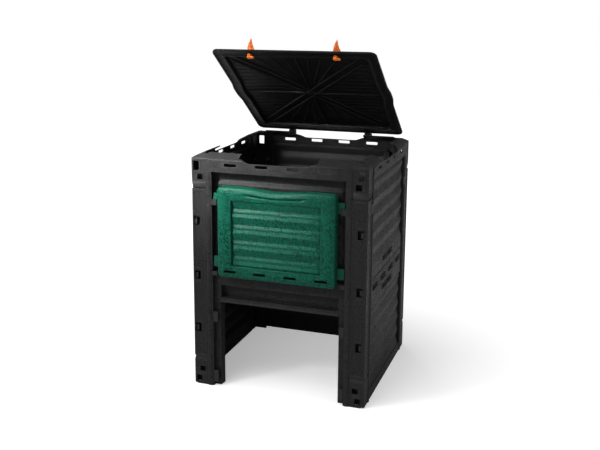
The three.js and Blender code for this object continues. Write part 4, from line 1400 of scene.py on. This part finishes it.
class BIN_OT_build_stage(bpy.types.Operator):
    """Set out the pale floor, the soft lights and the camera"""
    bl_idname = "compost_bin.build_stage"
    bl_label = "Stage"

    def execute(self, context):
        scene = context.scene
        look = scene.bin_stage
        scene.view_settings.view_transform = "Standard"
        pale_floor(look.floor)
        studio_world(scene, look.ambient)
        for name, place, target, size, spread_degrees, power, tint in LIGHTS:
            light = bpy.data.lights.new(name, "AREA")
            light.shape = "DISK"
            light.size = size
            light.spread = math.radians(spread_degrees)
            add_light(scene, light, place, target, power, tint)
        sky = bpy.data.lights.new("overhead", "SUN")
        sky.angle = math.radians(OVERHEAD_WIDTH)
        add_light(scene, sky, OVERHEAD_PLACE, MIDDLE, look.overhead, (1, 1, 1))
        camera = bpy.data.cameras.new("camera")
        camera.lens = look.lens
        camera.sensor_width = 36
        camera.shift_x, camera.shift_y = CAMERA_SHIFT
        eye = bpy.data.objects.new("camera", camera)
        a, e = look.azimuth, look.elevation
        back = Vector((math.sin(a) * math.cos(e), -math.cos(a) * math.cos(e), math.sin(e)))
        eye.location = CAMERA_AIM + back * look.distance
        eye.rotation_euler = (-back).to_track_quat("-Z", "Y").to_euler()
        scene.collection.objects.link(eye)
        scene.camera = eye
        return {"FINISHED"}


class BIN_PT_panel(bpy.types.Panel):
    """Lists the settings and the steps"""
    bl_idname = "BIN_PT_panel"
    bl_label = "Compost bin"
    bl_space_type = "VIEW_3D"
    bl_region_type = "UI"
    bl_category = "Compost bin"

    def draw(self, context):
        layout = self.layout
        for group in ("bin_walls", "bin_door", "bin_lid", "bin_finish", "bin_stage"):
            box = layout.box()
            settings = getattr(context.scene, group)
            for key in settings.__annotations__:
                box.prop(settings, key)
        for step in STEPS:
            layout.operator(step.bl_idname)


STEPS = (
    BIN_OT_build_stage, BIN_OT_build_walls, BIN_OT_build_vent_lips, BIN_OT_build_clips, BIN_OT_build_door,
    BIN_OT_build_lid, BIN_OT_build_hinges, BIN_OT_build_latches,
)
GROUPS = {
    "bin_walls": BinWallSettings, "bin_door": BinDoorSettings, "bin_lid": BinLidSettings,
    "bin_finish": BinFinishSettings, "bin_stage": BinStageSettings,
}


def register():
    """Registers the settings, the steps and the panel."""
    for group in GROUPS.values():
        bpy.utils.register_class(group)
    for key, group in GROUPS.items():
        setattr(bpy.types.Scene, key, bpy.props.PointerProperty(type=group))
    for step in (*STEPS, BIN_PT_panel):
        bpy.utils.register_class(step)


def unregister():
    """Takes back what register did."""
    for step in (BIN_PT_panel, *reversed(STEPS)):
        bpy.utils.unregister_class(step)
    for key, group in GROUPS.items():
        delattr(bpy.types.Scene, key)
        bpy.utils.unregister_class(group)


def main():
    """Builds the stage and every piece."""
    register()
    for step in STEPS:
        group, name = step.bl_idname.split(".")
        getattr(getattr(bpy.ops, group), name)()
    bpy.context.view_layer.update()


if __name__ == "__main__":
    main()
